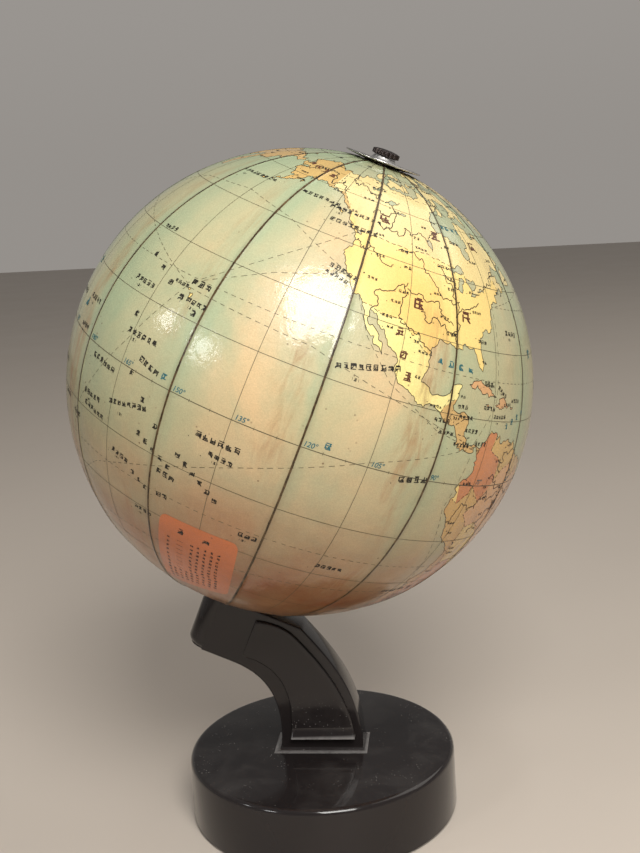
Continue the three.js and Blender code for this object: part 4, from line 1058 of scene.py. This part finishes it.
# Island groups and seas that carry a name on the open ocean: place, number of characters, size in mm, slope.
SEA_NAMES = """
-119,18,9,3.3,14 / -141.5,-5.8,6,3.6,0 / -137.7,-8.8,4,3.1,-3 / -97.4,-0.9,4,3.8,9 / -126,-24.8,3,3.1,0
/ -148.6,-17.8,3,3.4,-8 / -166,-9,8,3.1,14 / -176,-2,6,3.3,-3 / -177,-10.8,5,3.1,0 / -176,-13.3,6,3,-5
/ -167,7.2,5,3.3,0 / -160.3,3.2,4,3.3,-12 / -173.5,17.8,5,3,0 / -157,22.7,3,3.6,0 / -155.8,18.8,4,3,-3
/ -161.5,21.2,4,2.2,0 / -163,-19.3,4,2.9,-8 / -148,-23.8,2,3.2,0 / -128.3,38.4,5,2.9,-12
/ -128.6,36.6,5,2.3,-12
/ -136.7,53.3,9,2.7,1 / -134.3,49.7,8,2.8,-1 / 179,53.4,9,2.7,3 / -149.3,54.5,7,2.7,0 / -69,34.9,4,2.9,-4
/ -178,30.5,4,2.6,6 / -155,-31,4,2.6,0 / -28,38.6,4,2.8,0 / -24,16,5,2.9,0 / -18,28.3,4,2.6,0
/ -14,-8,3,2.6,0 / -5.5,-16,4,2.6,0 / -37,-54,5,2.6,0 / -58,-53.3,4,2.8,0 / 55.5,-4.6,4,2.8,0
/ 57.5,-20.4,4,2.8,0 / 73,4,4,2.8,0 / 93,12,4,2.7,0 / 69.5,-49.5,4,2.7,0 / 96.8,-12.2,4,2.6,0
/ 145,13.5,4,2.9,0 / 158,7,5,2.9,0 / 171,8,5,2.9,0 / 160,-9.5,5,2.9,0 / 177,-18,3,2.9,0 / 134.5,7.5,3,2.6,0
/ -93.5,13.2,4,2.3,3 / -91.6,11,4,2.3,0
/ -87.6,17,3,2.2,0 / -86.6,14.9,4,2.3,0 / -84,12.2,4,2.3,0 / -86.5,8.9,5,2.1,0 / -79.6,9.7,4,2.2,0
/ -79,17.6,4,2.3,0
/ -73.8,22.6,4,2.2,-30 / -67,19.7,4,2.2,0 / -74.6,16,5,2.2,0 / -79.6,22.9,3,2.2,0
/ 172,1.5,4,2.7,0 / 168,-16,4,2.7,0 / 142,27,4,2.8,0 / -105.5,-27,5,2.8,0 / -79,-33.6,4,2.6,0
"""
# Large characters spaced along an arc: first place, last place, number, size in mm, colour.
BIG_NAMES = """
-152.4,2,-114.5,1.8,2,3.7,blue / -102.2,36.3,-86.5,36.4,2,6.4,brown
/ -106.3,28.9,-102.3,20.3,3,4.8,brown / -116,55.4,-72.4,55.6,3,6.4,brown / -163,66,-146,64,4,4,brown
/ -172,24.2,-152.4,16.6,5,3.4,black / -166.4,11,-158,7.4,2,3.4,black / -161,-0.6,-151,-8.6,3,3.3,black
/ -155,-12,-145.8,-16,5,3,black / -144,-12.2,-133.2,-18.8,6,3.3,black / -155.5,-22,-151.2,-24,3,2.7,black
/ -52,30,-34,14,3,5.4,blue / -25,-14,-15,-34,3,5.4,blue / -94.5,25.4,-84.8,25,4,3.5,blue
/ -60,-6,-46,-12,2,6,brown / -67,-33,-66,-45,3,4.6,brown / 62,0,92,-22,4,5.4,blue / 10,22,22,8,2,5.4,brown
/ 40,58,130,62,5,6.4,brown / 88,36,112,32,2,6,brown / 76,25,80,16,2,5,brown / 120,-22,145,-28,4,5.6,brown
/ -48,76,-38,68,3,4.6,brown / 152,24,170,6,3,5.4,blue / 30,-80,150,-80,3,4.6,brown / -30,70,10,78,3,4,blue
/ -165,75.5,-135,77,3,3,black / -60,17,-68,14,4,3.2,blue / -88.4,59.4,-79,59.2,4,2.8,blue
"""


def printed_words():
    """The marks that stand for names on the sea, for countries and oceans, and for towns."""
    rng = random.Random(77)
    sheets = {"black": Ink(), "brown": Ink(), "blue": Ink()}
    black = sheets["black"]
    for index, part in enumerate(SEA_NAMES.split("/")):
        lon, lat, count, size, slope = map(float, part.split(","))
        words(black, lon, lat, int(count), LABEL_SCALE * size * MM, rng, math.radians(slope))
        black.ring(lon - 1.2, lat - 1.2, 0.3 * MM, 6)
        if index % 2 == 0:
            bracketed(black, lon + 0.18 * count * size, lat - 1.5, 0.62 * size * MM, rng)
    for part in BIG_NAMES.split("/"):
        *numbers, count, size, colour = part.split(",")
        west, south, east, north = map(float, numbers)
        for index in range(int(count)):
            share = index / (int(count) - 1)
            lon, lat = west + (east - west) * share, south + (north - south) * share
            glyph(sheets[colour.strip()], lon, lat, 0, 0, LABEL_SCALE * float(size) * MM, rng)
    scatter_place_names(black, rng)
    black.piece("printed_names", INK_BLACK, 1.8 * INK_LIFT)
    sheets["brown"].piece("printed_country_names", INK_BROWN, 1.9 * INK_LIFT)
    sheets["blue"].piece("printed_sea_names", INK_BLUE, 1.8 * INK_LIFT)


AREA_PER_TOWN = 9                          # square degrees for each try
TOWN_ROW = 2.6                             # degrees of latitude between rows of marks
LAST_TOWN = 78                             # degrees north


def scatter_place_names(sheet, rng):
    """Towns: a small ring or dot and a short row of marks, spread over the land with room round each."""
    taken = []
    lands = COASTS[:6] + [c for c in COASTS[6:] if max(p[0] for p in c) - min(p[0] for p in c) > 5]
    for outline in lands:
        lons = [p[0] for p in outline]
        lats = [p[1] for p in outline]
        middle = math.radians(sum(lats) / len(lats))
        spread = (max(lons) - min(lons)) * (max(lats) - min(lats)) * math.cos(middle)
        tries = int(spread / AREA_PER_TOWN) + 3
        spots = np.array([(rng.uniform(min(lons), max(lons)), rng.uniform(min(lats), max(lats)))
                          for _ in range(tries)])
        for (lon, lat), hit in zip(spots, inside(spots[:, 0], spots[:, 1], outline)):
            room = 6 if abs(lat) < 60 else 8
            shrink = math.cos(math.radians(lat))
            near = any(abs(lat - b) < TOWN_ROW and abs(lon - a) * shrink < room for a, b in taken)
            if not hit or near or lat > LAST_TOWN:
                continue
            taken.append((lon, lat))
            size = rng.choice((1.9, 2.1, 2.1, 2.5)) * MM
            sheet.ring(lon, lat, rng.choice((0.3, 0.3, 0.5)) * MM, 8)
            words(sheet, lon + 0.75 / shrink, lat + rng.choice((-0.5, 0.5)),
                  rng.choice((2, 2, 3, 3, 4)), size, rng)


NUMBER_HEIGHT = 4.5 * MM
NUMBER_SLANT = 0.15


def equator_numbers():
    """Degrees of longitude along the equator, every 15 degrees."""
    sheet = Ink()
    for lon in range(0, 360, GRID_STEP):
        degrees = min(lon, 360 - lon)
        curve = bpy.data.curves.new("number", "FONT")
        curve.body = f"{degrees}°"
        curve.size = NUMBER_HEIGHT
        curve.offset = 0.05 * MM
        text = bpy.data.objects.new("number", curve)
        into_scene(text)
        mesh = text.evaluated_get(bpy.context.evaluated_depsgraph_get()).to_mesh()
        first = len(sheet.points)
        for vertex in mesh.vertices:
            x = vertex.co.x + NUMBER_SLANT * vertex.co.y + 1.2 * MM
            y = vertex.co.y + 1.1 * MM
            sheet.points.append((lon + math.degrees(x / RADIUS), math.degrees(y / RADIUS)))
        sheet.faces += [tuple(first + v for v in face.vertices) for face in mesh.polygons]
        bpy.data.objects.remove(text)
        bpy.data.curves.remove(curve)
    sheet.piece("equator_numbers", INK_BLUE, 1.6 * INK_LIFT)


LEGEND_CORNERS = ((-146.2, -28.4), (-124.6, -28.0), (-122.4, -51.6), (-149.4, -57.6))


def legend_point(across, down):
    """A place in the legend box, from its top left (0, 0) to its bottom right (1, 1)."""
    top = [LEGEND_CORNERS[0][k] * (1 - across) + LEGEND_CORNERS[1][k] * across for k in (0, 1)]
    low = [LEGEND_CORNERS[3][k] * (1 - across) + LEGEND_CORNERS[2][k] * across for k in (0, 1)]
    return (top[0] * (1 - down) + low[0] * down, top[1] * (1 - down) + low[1] * down)


def legend():
    """The key of the map: a tinted box with rounded corners and rows of meaningless marks."""
    rng = random.Random(5)
    box = Ink()
    corner = 0.09
    rim = []
    for centre_x, centre_y, start in ((1 - corner, corner, -90), (1 - corner, 1 - corner, 0),
                                      (corner, 1 - corner, 90), (corner, corner, 180)):
        for step in range(6):
            angle = math.radians(start + 18 * step)
            rim.append(legend_point(centre_x + corner * math.cos(angle), centre_y + corner * math.sin(angle)))
    outline = resampled(rim + rim[:1], 1.0)[:-1]
    lons = np.linspace(-150, -121, 30)
    lats = np.linspace(-58, -27, 32)
    grid = [(lon, lat) for lon in lons for lat in lats]
    grid = [p for p, hit in zip(grid, inside(*np.array(grid).T, outline)) if hit]
    count = len(outline)
    edges = [(k, (k + 1) % count) for k in range(count)]
    vertices, _, faces, *_ = delaunay_2d_cdt([Vector(p) for p in outline + grid], edges, [], 1, 1e-5, False)
    places, normals = on_paper([v.x for v in vertices], [v.y for v in vertices], 1.2 * INK_LIFT)
    place = [(v.x / 100, v.y / 100, 0.4) for v in vertices]
    faces = [tuple(face) for face in faces
             if max((vertices[a] - vertices[b]).length for a, b in zip(face, face[1:] + face[:1])) < 3]
    map_piece("legend_box", places, normals, faces, [LEGEND_PAPER], map_place=place)
    for across in (0.3, 0.62):
        glyph(box, *legend_point(across, 0.12), 0, 0, 5.4 * MM, rng)
    for row in range(12):
        down = 0.24 + 0.058 * row
        if row < 8:
            glyph(box, *legend_point(0.14, down), 0, 0, 2.3 * MM, rng)
            box.stroke(*legend_point(0.26, down), 0, (0, 0), (4.5 * MM, 0), 0.3 * MM)
        start = 0.46 if row < 8 else 0.14
        for mark in range(5 if row < 8 else 9):
            glyph(box, *legend_point(start + 0.085 * mark, down), 0, 0, 2.4 * MM, rng)
    box.piece("legend_marks", INK_BLACK, 1.9 * INK_LIFT)


# ---- Turned and moulded pieces ----------------------------------------------------------------------


def solid(name, vertices, faces, material, slot, body, matrix=Matrix(), crease=32):
    """A mesh piece from vertices in millimetres, smooth except at edges sharper than the crease angle."""
    mesh = bpy.data.meshes.new(name)
    mesh.from_pydata([matrix @ (Vector(v) * MM) for v in vertices], [], faces)
    work = bmesh.new()
    work.from_mesh(mesh)
    bmesh.ops.remove_doubles(work, verts=work.verts, dist=1e-7)
    bmesh.ops.recalc_face_normals(work, faces=work.faces)
    work.to_mesh(mesh)
    work.free()
    mesh.polygons.foreach_set("use_smooth", [True] * len(mesh.polygons))
    mesh.set_sharp_from_angle(angle=math.radians(crease))
    mesh.materials.append(material)
    piece = bpy.data.objects.new(name, mesh)
    into_scene(piece)
    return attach(piece, body)


def marked(piece, name, share):
    """Stores a mark of the plastic, from 0 to 1, at each vertex: rubbed wear that also paints a highlight, or
    dust that on the neck panel also paints a grey sheen. The share takes a place in m.
    """
    layer = piece.data.attributes.new(name, "FLOAT", "POINT")
    layer.data.foreach_set("value", [max(0, min(1, share(vertex.co))) for vertex in piece.data.vertices])


def softened(corners, steps=6):
    """A closed profile whose corners (r, z, fillet radius) are rounded."""
    result = []
    count = len(corners)
    for index, (r, z, fillet) in enumerate(corners):
        here = Vector((r, z))
        if fillet == 0:
            result.append((r, z))
            continue
        before = (Vector(corners[index - 1][:2]) - here).normalized()
        after = (Vector(corners[(index + 1) % count][:2]) - here).normalized()
        half = before.angle(after) / 2
        centre = here + (before + after).normalized() * (fillet / math.sin(half))
        start = here + before * (fillet / math.tan(half)) - centre
        end = here + after * (fillet / math.tan(half)) - centre
        turn = start.angle_signed(end)
        for step in range(steps + 1):
            angle = -turn * step / steps
            spoke = Vector((start.x * math.cos(angle) - start.y * math.sin(angle),
                            start.x * math.sin(angle) + start.y * math.cos(angle)))
            result.append(tuple(centre + spoke))
    return result


def turned(profile, segments, ribs=None):
    """(vertices, faces) of a closed profile turned about Z. ribs(r, z, angle) gives a ribbed radius."""
    vertices, faces = [], []
    for column in range(segments):
        angle = math.radians(360 * column / segments)
        for r, z in profile:
            if ribs is not None:
                r = ribs(r, z, angle)
            vertices.append((r * math.cos(angle), r * math.sin(angle), z))
    rows = len(profile)
    for column in range(segments):
        following = (column + 1) % segments
        for row in range(rows):
            below = (row + 1) % rows
            faces.append((column * rows + row, following * rows + row, following * rows + below,
                          column * rows + below))
    return vertices, faces


def joined(*parts):
    """(vertices, faces) of several parts in one."""
    vertices, faces = [], []
    for more_vertices, more_faces in parts:
        first = len(vertices)
        vertices += more_vertices
        faces += [tuple(first + v for v in face) for face in more_faces]
    return vertices, faces


def moved(part, x, y):
    return [(a + x, b + y, z) for a, b, z in part[0]], part[1]


BASE_TOP = 46.2                            # mm above the floor
POST_RING = 84                             # mm from the axis to each screw post


def base():
    """The base's shell, with four hollow screw posts under its top."""
    shell = turned(softened([(0, BASE_TOP, 0), (97.6, BASE_TOP, 4.2), (98.3, 1.5, 0.8), (95, 1.5, 0.6),
                             (94.3, 42.9, 2), (0, 42.9, 0)]), 192)
    post = turned(softened([(0, 43.2, 0), (6.2, 43.2, 0), (5.1, 40.2, 1), (4.9, 4.5, 0.4), (1.6, 4.5, 0.2),
                            (1.6, 30, 0), (0, 30, 0)]), 32)
    posts = []
    for degrees in (45, 135, 225, 315):
        angle = math.radians(degrees)
        posts.append(moved(post, POST_RING * math.cos(angle), POST_RING * math.sin(angle)))
    piece = solid("base_shell_moulding", *joined(shell, *posts), BLACK, "black_plastic", "stand")
    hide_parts("base_shell")


def beside_axle(along, across):
    """A point (x, z) in mm given along the axle from the globe's centre, and square to it."""
    return (along * math.sin(TILT) - across * math.cos(TILT),
            CENTRE.z / MM + along * math.cos(TILT) + across * math.sin(TILT))


def bezier(a, b, c, d, steps):
    """Points after a, up to d, of a cubic curve."""
    result = []
    for step in range(1, steps + 1):
        t = step / steps
        weights = ((1 - t) ** 3, 3 * t * (1 - t) ** 2, 3 * t * t * (1 - t), t ** 3)
        result.append(tuple(sum(w * p[k] for w, p in zip(weights, (a, b, c, d))) for k in (0, 1)))
    return result


NECK_HALF = 12.5
BOSS_TOP = -165
BOSS_END = -209


def neck_arm():
    """The swan neck: an extruded side view with softened edges, and the round boss that holds the axle."""
    front = (32, 45.5)
    back = (-29, 45.5)
    upper = beside_axle(BOSS_TOP, -62)
    lower = beside_axle(BOSS_END, -24)
    outline = [front] + bezier(front, (31, 85), (22, 106), upper, 40)
    outline += [beside_axle(BOSS_TOP, 0), beside_axle(BOSS_END, 0), lower]
    outline += bezier(lower, (-33, 105), (-24, 82), back, 40)
    curve = bpy.data.curves.new("neck", "CURVE")
    curve.dimensions = "2D"
    curve.fill_mode = "BOTH"
    spline = curve.splines.new("POLY")
    spline.points.add(len(outline) - 1)
    for point, (x, z) in zip(spline.points, outline):
        point.co = (x, z, 0, 1)
    spline.use_cyclic_u = True
    edge = 1.3
    curve.extrude = NECK_HALF - edge
    curve.bevel_depth = edge
    curve.bevel_resolution = 3
    curve.offset = -edge
    drawing = bpy.data.objects.new("neck", curve)
    into_scene(drawing)
    mesh = drawing.evaluated_get(bpy.context.evaluated_depsgraph_get()).to_mesh()
    arm = ([(v.co.x, v.co.z, v.co.y) for v in mesh.vertices], [tuple(f.vertices) for f in mesh.polygons])
    bpy.data.objects.remove(drawing)
    bpy.data.curves.remove(curve)
    profile = softened([(3.4, BOSS_TOP, 0.4), (NECK_HALF, BOSS_TOP, 1.3), (NECK_HALF, BOSS_END, 6),
                        (9, BOSS_END, 0.5), (9, -197, 0), (3.4, -197, 0)])
    boss, boss_faces = turned(profile, 96)
    boss = [tuple((AXLE_MATRIX @ (Vector(v) * MM)) / MM) for v in boss]
    piece = solid("neck_moulding", *joined(arm, (boss, boss_faces)), BLACK, "black_plastic", "stand")
    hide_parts("neck_body")


def neck_panel(name, side):
    """The raised panel on one face of the neck. It kicks out in a rounded lip at its foot."""
    left_low, right_low = (-20.4, 58), (26.5, 58)
    left_turn = (-44, 118.6)
    right_turn = (-14.5, 137.2)
    left_end, right_end = beside_axle(-198, -29.8), beside_axle(-171.5, -29.8)
    left = [left_low] + bezier(left_low, (-17, 85), (-21, 108), left_turn, 40)
    left += bezier(left_turn, (-48, 120.2), (-53, 120.6), left_end, 12)
    right = [right_low] + bezier(right_low, (24, 82), (14, 106), right_turn, 40)
    right += bezier(right_turn, (-19, 141.5), (-26, 146.5), right_end, 12)
    bottom, top, fillet = 11.8, 15.2, 1.1

    def stations(length):
        near = [fillet * (1 - math.cos(math.radians(a))) for a in (0, 22, 45, 67, 90)]
        count = 10 if length < 70 else 60
        middle = list(np.linspace(fillet, length - fillet, count))[1:-1]
        return [0, *near, *middle, *(length - x for x in reversed(near)), length]

    def along(edge, share):
        steps = np.array(edge)
        runs = np.concatenate([[0], np.cumsum(np.linalg.norm(np.diff(steps, axis=0), axis=1))])
        return np.array([np.interp(share * runs[-1], runs, steps[:, k]) for k in (0, 1)])

    length = 112
    across = 40
    vertices = []
    ups, sides = stations(length), stations(across)
    for i, up in enumerate(ups):
        a, b = along(left, up / length), along(right, up / length)
        wide = np.linalg.norm(b - a)
        for j, aside in enumerate(sides):
            edge_gap = min(aside, across - aside)
            if edge_gap >= fillet:
                edge_gap *= wide / across
            share = edge_gap / wide if aside < across / 2 else 1 - edge_gap / wide
            x, z = a + (b - a) * share
            end_gap = min(up, length - up)
            c, d = max(0, fillet - edge_gap), max(0, fillet - end_gap)
            height = top - fillet + math.sqrt(max(0, fillet ** 2 - c * c - d * d))
            if i in (0, len(ups) - 1) or j in (0, len(sides) - 1):
                height = bottom
            else:
                height += 0.7 * max(0, (85 - z) / 27) ** 2 + 3.3 * max(0, (64.5 - z) / 6.5) ** 1.1
            vertices.append((x, side * height, z))
    rows = len(sides)
    faces = [(i * rows + j, i * rows + j + 1, (i + 1) * rows + j + 1, (i + 1) * rows + j)
             for i in range(len(ups) - 1) for j in range(rows - 1)]
    faces.append(tuple(list(range(rows)) + [i * rows + rows - 1 for i in range(1, len(ups))]
                       + [(len(ups) - 1) * rows + j for j in range(rows - 2, -1, -1)]
                       + [i * rows for i in range(len(ups) - 2, 0, -1)]))
    piece = solid(name, vertices, faces, BLACK, "black_plastic", "stand")
    # Rubbed wear on the lip's edge, and a painted highlight band along the lip.
    marked(piece, "wear_and_highlight", lambda place: ((0.0597 - place.z) / 0.0009
                                         + min(0.4, max(0, (0.0628 - place.z) / 0.005))))
    # Dust on the panel's lower face, and a painted grey sheen where the face tilts up towards the lamp.
    marked(piece, "dust_and_sheen", lambda place: min(0.8, (0.096 - place.z) / 0.03) if place.z > 0.064 else 0.1)
    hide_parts("neck_body")


def neck_skirt():
    """The concave fillet round the neck's foot, with sharp corners and a thin edge on the base's top."""
    inner = (-29.0, 31.9, NECK_HALF - 0.1)
    outer = (-33.6, 34.8, 16.5)
    profile = [(1 - math.cos(math.radians(a)), 1 - math.sin(math.radians(a))) for a in range(0, 91, 10)]
    loops = [(out, BASE_TOP + 0.35 + 3.4 * up) for out, up in profile] + [(1.0, BASE_TOP - 0.2)]
    vertices = []
    for out, z in loops:
        low_x, high_x, half_y = (a + (b - a) * out for a, b in zip(inner, outer))
        vertices += [(low_x, -half_y, z), (high_x, -half_y, z), (high_x, half_y, z), (low_x, half_y, z)]
    faces = [(4 * k + c, 4 * k + (c + 1) % 4, 4 * k + 4 + (c + 1) % 4, 4 * k + 4 + c)
             for k in range(len(loops) - 1) for c in range(4)]
    faces += [(0, 1, 2, 3), tuple(4 * (len(loops) - 1) + c for c in range(4))]
    piece = solid("neck_foot_skirt", vertices, faces, BLACK, "black_plastic", "stand")
    # A painted highlight line along the skirt's foot.
    marked(piece, "wear_and_highlight", lambda place: (0.0476 - place.z) / 0.0009)
    marked(piece, "dust_and_sheen", lambda place: (0.0500 - place.z) / 0.004)
    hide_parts("neck_body")


def polar_discs():
    """Thin chrome saucers that hold the ends of the gores down."""
    for pole, side in (("north", 1), ("south", -1)):
        corners = [(3.3, 159.3, 0.2), (12, 159.3, 8), (19, 160.15, 8), (26.2, 161.0, 0.3),
                   (26.3, 162.0, 0.35), (19, 161.1, 8), (12, 160.2, 8), (3.3, 160.2, 0.2)]
        vertices, faces = turned(softened([(r, side * z, f) for r, z, f in corners], steps=4), 128)
        piece = solid(f"{pole}_disc_pressing", vertices, faces, CHROME, "chrome", "globe", AXLE_MATRIX, 50)
        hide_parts(f"{pole}_disc")


def polar_fittings():
    """The chrome collar and the dark ribbed nut over the north pole."""
    collar = softened([(3.2, 160.3, 0), (10.6, 160.3, 0.2), (9.6, 161.5, 3), (8.0, 163.2, 4),
                       (7.4, 164.3, 0.2), (3.2, 164.3, 0)], steps=4)
    piece = solid("north_collar_turning", *turned(collar, 96), SATIN_CHROME, "chrome", "stand",
                  AXLE_MATRIX, 50)
    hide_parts("north_collar")

    def ribs(r, z, angle):
        depth = 0.75 * max(0, min(1, (r - 6.6) / 2.2))
        return r - depth * (0.5 - 0.5 * math.cos(18 * angle)) ** 2

    nut = softened([(3.2, 164.6, 0.1), (7, 164.6, 0.3), (7.6, 164.9, 0.8), (9.3, 165.3, 0.3),
                    (9.3, 168.2, 0.45), (6.9, 168.9, 3), (3.2, 169.35, 6), (0, 169.4, 0), (0, 167, 0),
                    (3.2, 167, 0)], steps=5)
    piece = solid("thumb_nut_ribbed", *turned(nut, 216, ribs), DARK_NUT, "dark_nut", "nut",
                  AXLE_MATRIX, 50)
    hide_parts("thumb_nut")


for gore_index in range(GORE_COUNT):
    gore(gore_index, PAPER)
printed_lines()
printed_words()
equator_numbers()
legend()
base()
neck_arm()
neck_panel("neck_panel_front", -1)
neck_panel("neck_panel_back", 1)
neck_skirt()
polar_discs()
polar_fittings()

# ---- Finishes of the CAD parts that stay -------------------------------------------------------------

NODE_FINISH = (
    ("ballast", CAST_IRON), ("bottom_plate", FIBRE), ("foot_", RUBBER), ("plate_screw", STEEL),
    ("neck_screw", STEEL), ("neck_washer", STEEL), ("axle_rod", STEEL), ("lock_", STEEL),
    ("spring_washer", STEEL), ("south_spacer", STEEL), ("north_hub", WOOD), ("south_hub", WOOD),
    ("north_hemisphere", PASTEBOARD), ("south_hemisphere", PASTEBOARD), ("equator_ring", PASTEBOARD),
    ("gore_", OCEAN), ("base_shell", BLACK), ("neck_body", BLACK), ("thumb_nut", DARK_NUT),
    ("north_collar", CHROME), ("north_disc", CHROME), ("south_disc", CHROME),
)
for node_name, node in frame["nodes"].items():
    finish = next(finish for start, finish in NODE_FINISH if node_name.startswith(start))
    node.data.materials.clear()
    node.data.materials.append(finish)

# ---- Floor, light and camera -------------------------------------------------------------------------

FLOOR = Finish("floor", (0.56, 0.495, 0.43), 0.55)
FLOOR.rough(FLOOR.ramp(FLOOR.noise(6), 0.3, 0.7, 0.5, 0.62))
floor_mesh = bpy.data.meshes.new("floor")
floor_mesh.from_pydata([(-6, -6, 0), (6, -6, 0), (6, 6, 0), (-6, 6, 0)], [], [(0, 1, 2, 3)])
floor_mesh.materials.append(FLOOR.material)
floor = bpy.data.objects.new("floor", floor_mesh)
into_scene(floor)

# The room's light from the level of the globe (0) to straight overhead (1).
SKY_STOPS = ((0.0, (0.30, 0.28, 0.26)), (0.16, (0.32, 0.30, 0.28)), (0.4, (0.15, 0.145, 0.14)),
             (1.0, (0.27, 0.265, 0.26)))

world = bpy.data.worlds.new("studio")
bpy.context.scene.world = world
world.use_nodes = True
sky = world.node_tree.nodes
ramp = sky.new("ShaderNodeValToRGB")
height = sky.new("ShaderNodeSeparateXYZ")
world.node_tree.links.new(sky.new("ShaderNodeTexCoord").outputs["Generated"], height.inputs[0])
world.node_tree.links.new(height.outputs["Z"], ramp.inputs["Fac"])
world.node_tree.links.new(ramp.outputs["Color"], sky["Background"].inputs["Color"])
ramp.color_ramp.interpolation = "EASE"
for _ in range(len(SKY_STOPS) - 2):
    ramp.color_ramp.elements.new(0.5)
for stop, (position, colour) in zip(ramp.color_ramp.elements, SKY_STOPS):
    stop.position = position
    stop.color = (*colour, 1)


def area_light(name, direction, distance, size, power, colour=(1, 1, 1)):
    """A soft square lamp, seen from the globe's centre in a direction."""
    lamp = bpy.data.lights.new(name, "AREA")
    lamp.shape = "RECTANGLE"
    lamp.size, lamp.size_y = size
    lamp.energy = power
    lamp.color = colour
    holder = bpy.data.objects.new(name, lamp)
    aim = Vector(direction).normalized()
    holder.location = CENTRE + aim * distance
    holder.rotation_euler = aim.to_track_quat("Z", "Y").to_euler()
    into_scene(holder)


area_light("window", (0.237, -0.693, 0.681), 1.6, (0.72, 0.78), 30, (1, 0.98, 0.94))
area_light("side_window", (-0.588, -0.705, 0.398), 2.4, (0.34, 0.42), 6)
area_light("far_window", (-0.783, -0.365, 0.504), 2.6, (0.22, 0.26), 3)
area_light("room", (0.9, 0.5, 1.2), 3.2, (2.4, 2.4), 25, (1, 0.96, 0.9))

camera_data = bpy.data.cameras.new("camera")
camera_data.lens = 50.06
camera_data.sensor_width = 36
camera_data.clip_start = 0.02
camera = bpy.data.objects.new("camera", camera_data)
into_scene(camera)
camera.location = (0.1079, -0.8091, 0.4595)
looking = Vector((-0.11516, 0.97155, -0.20696))
ROLL = math.radians(-3.26)
camera.rotation_mode = "QUATERNION"
camera.rotation_quaternion = looking.to_track_quat("-Z", "Y") @ Quaternion((0, 0, 1), ROLL)
bpy.context.scene.camera = camera
bpy.context.scene.view_settings.view_transform = "Standard"
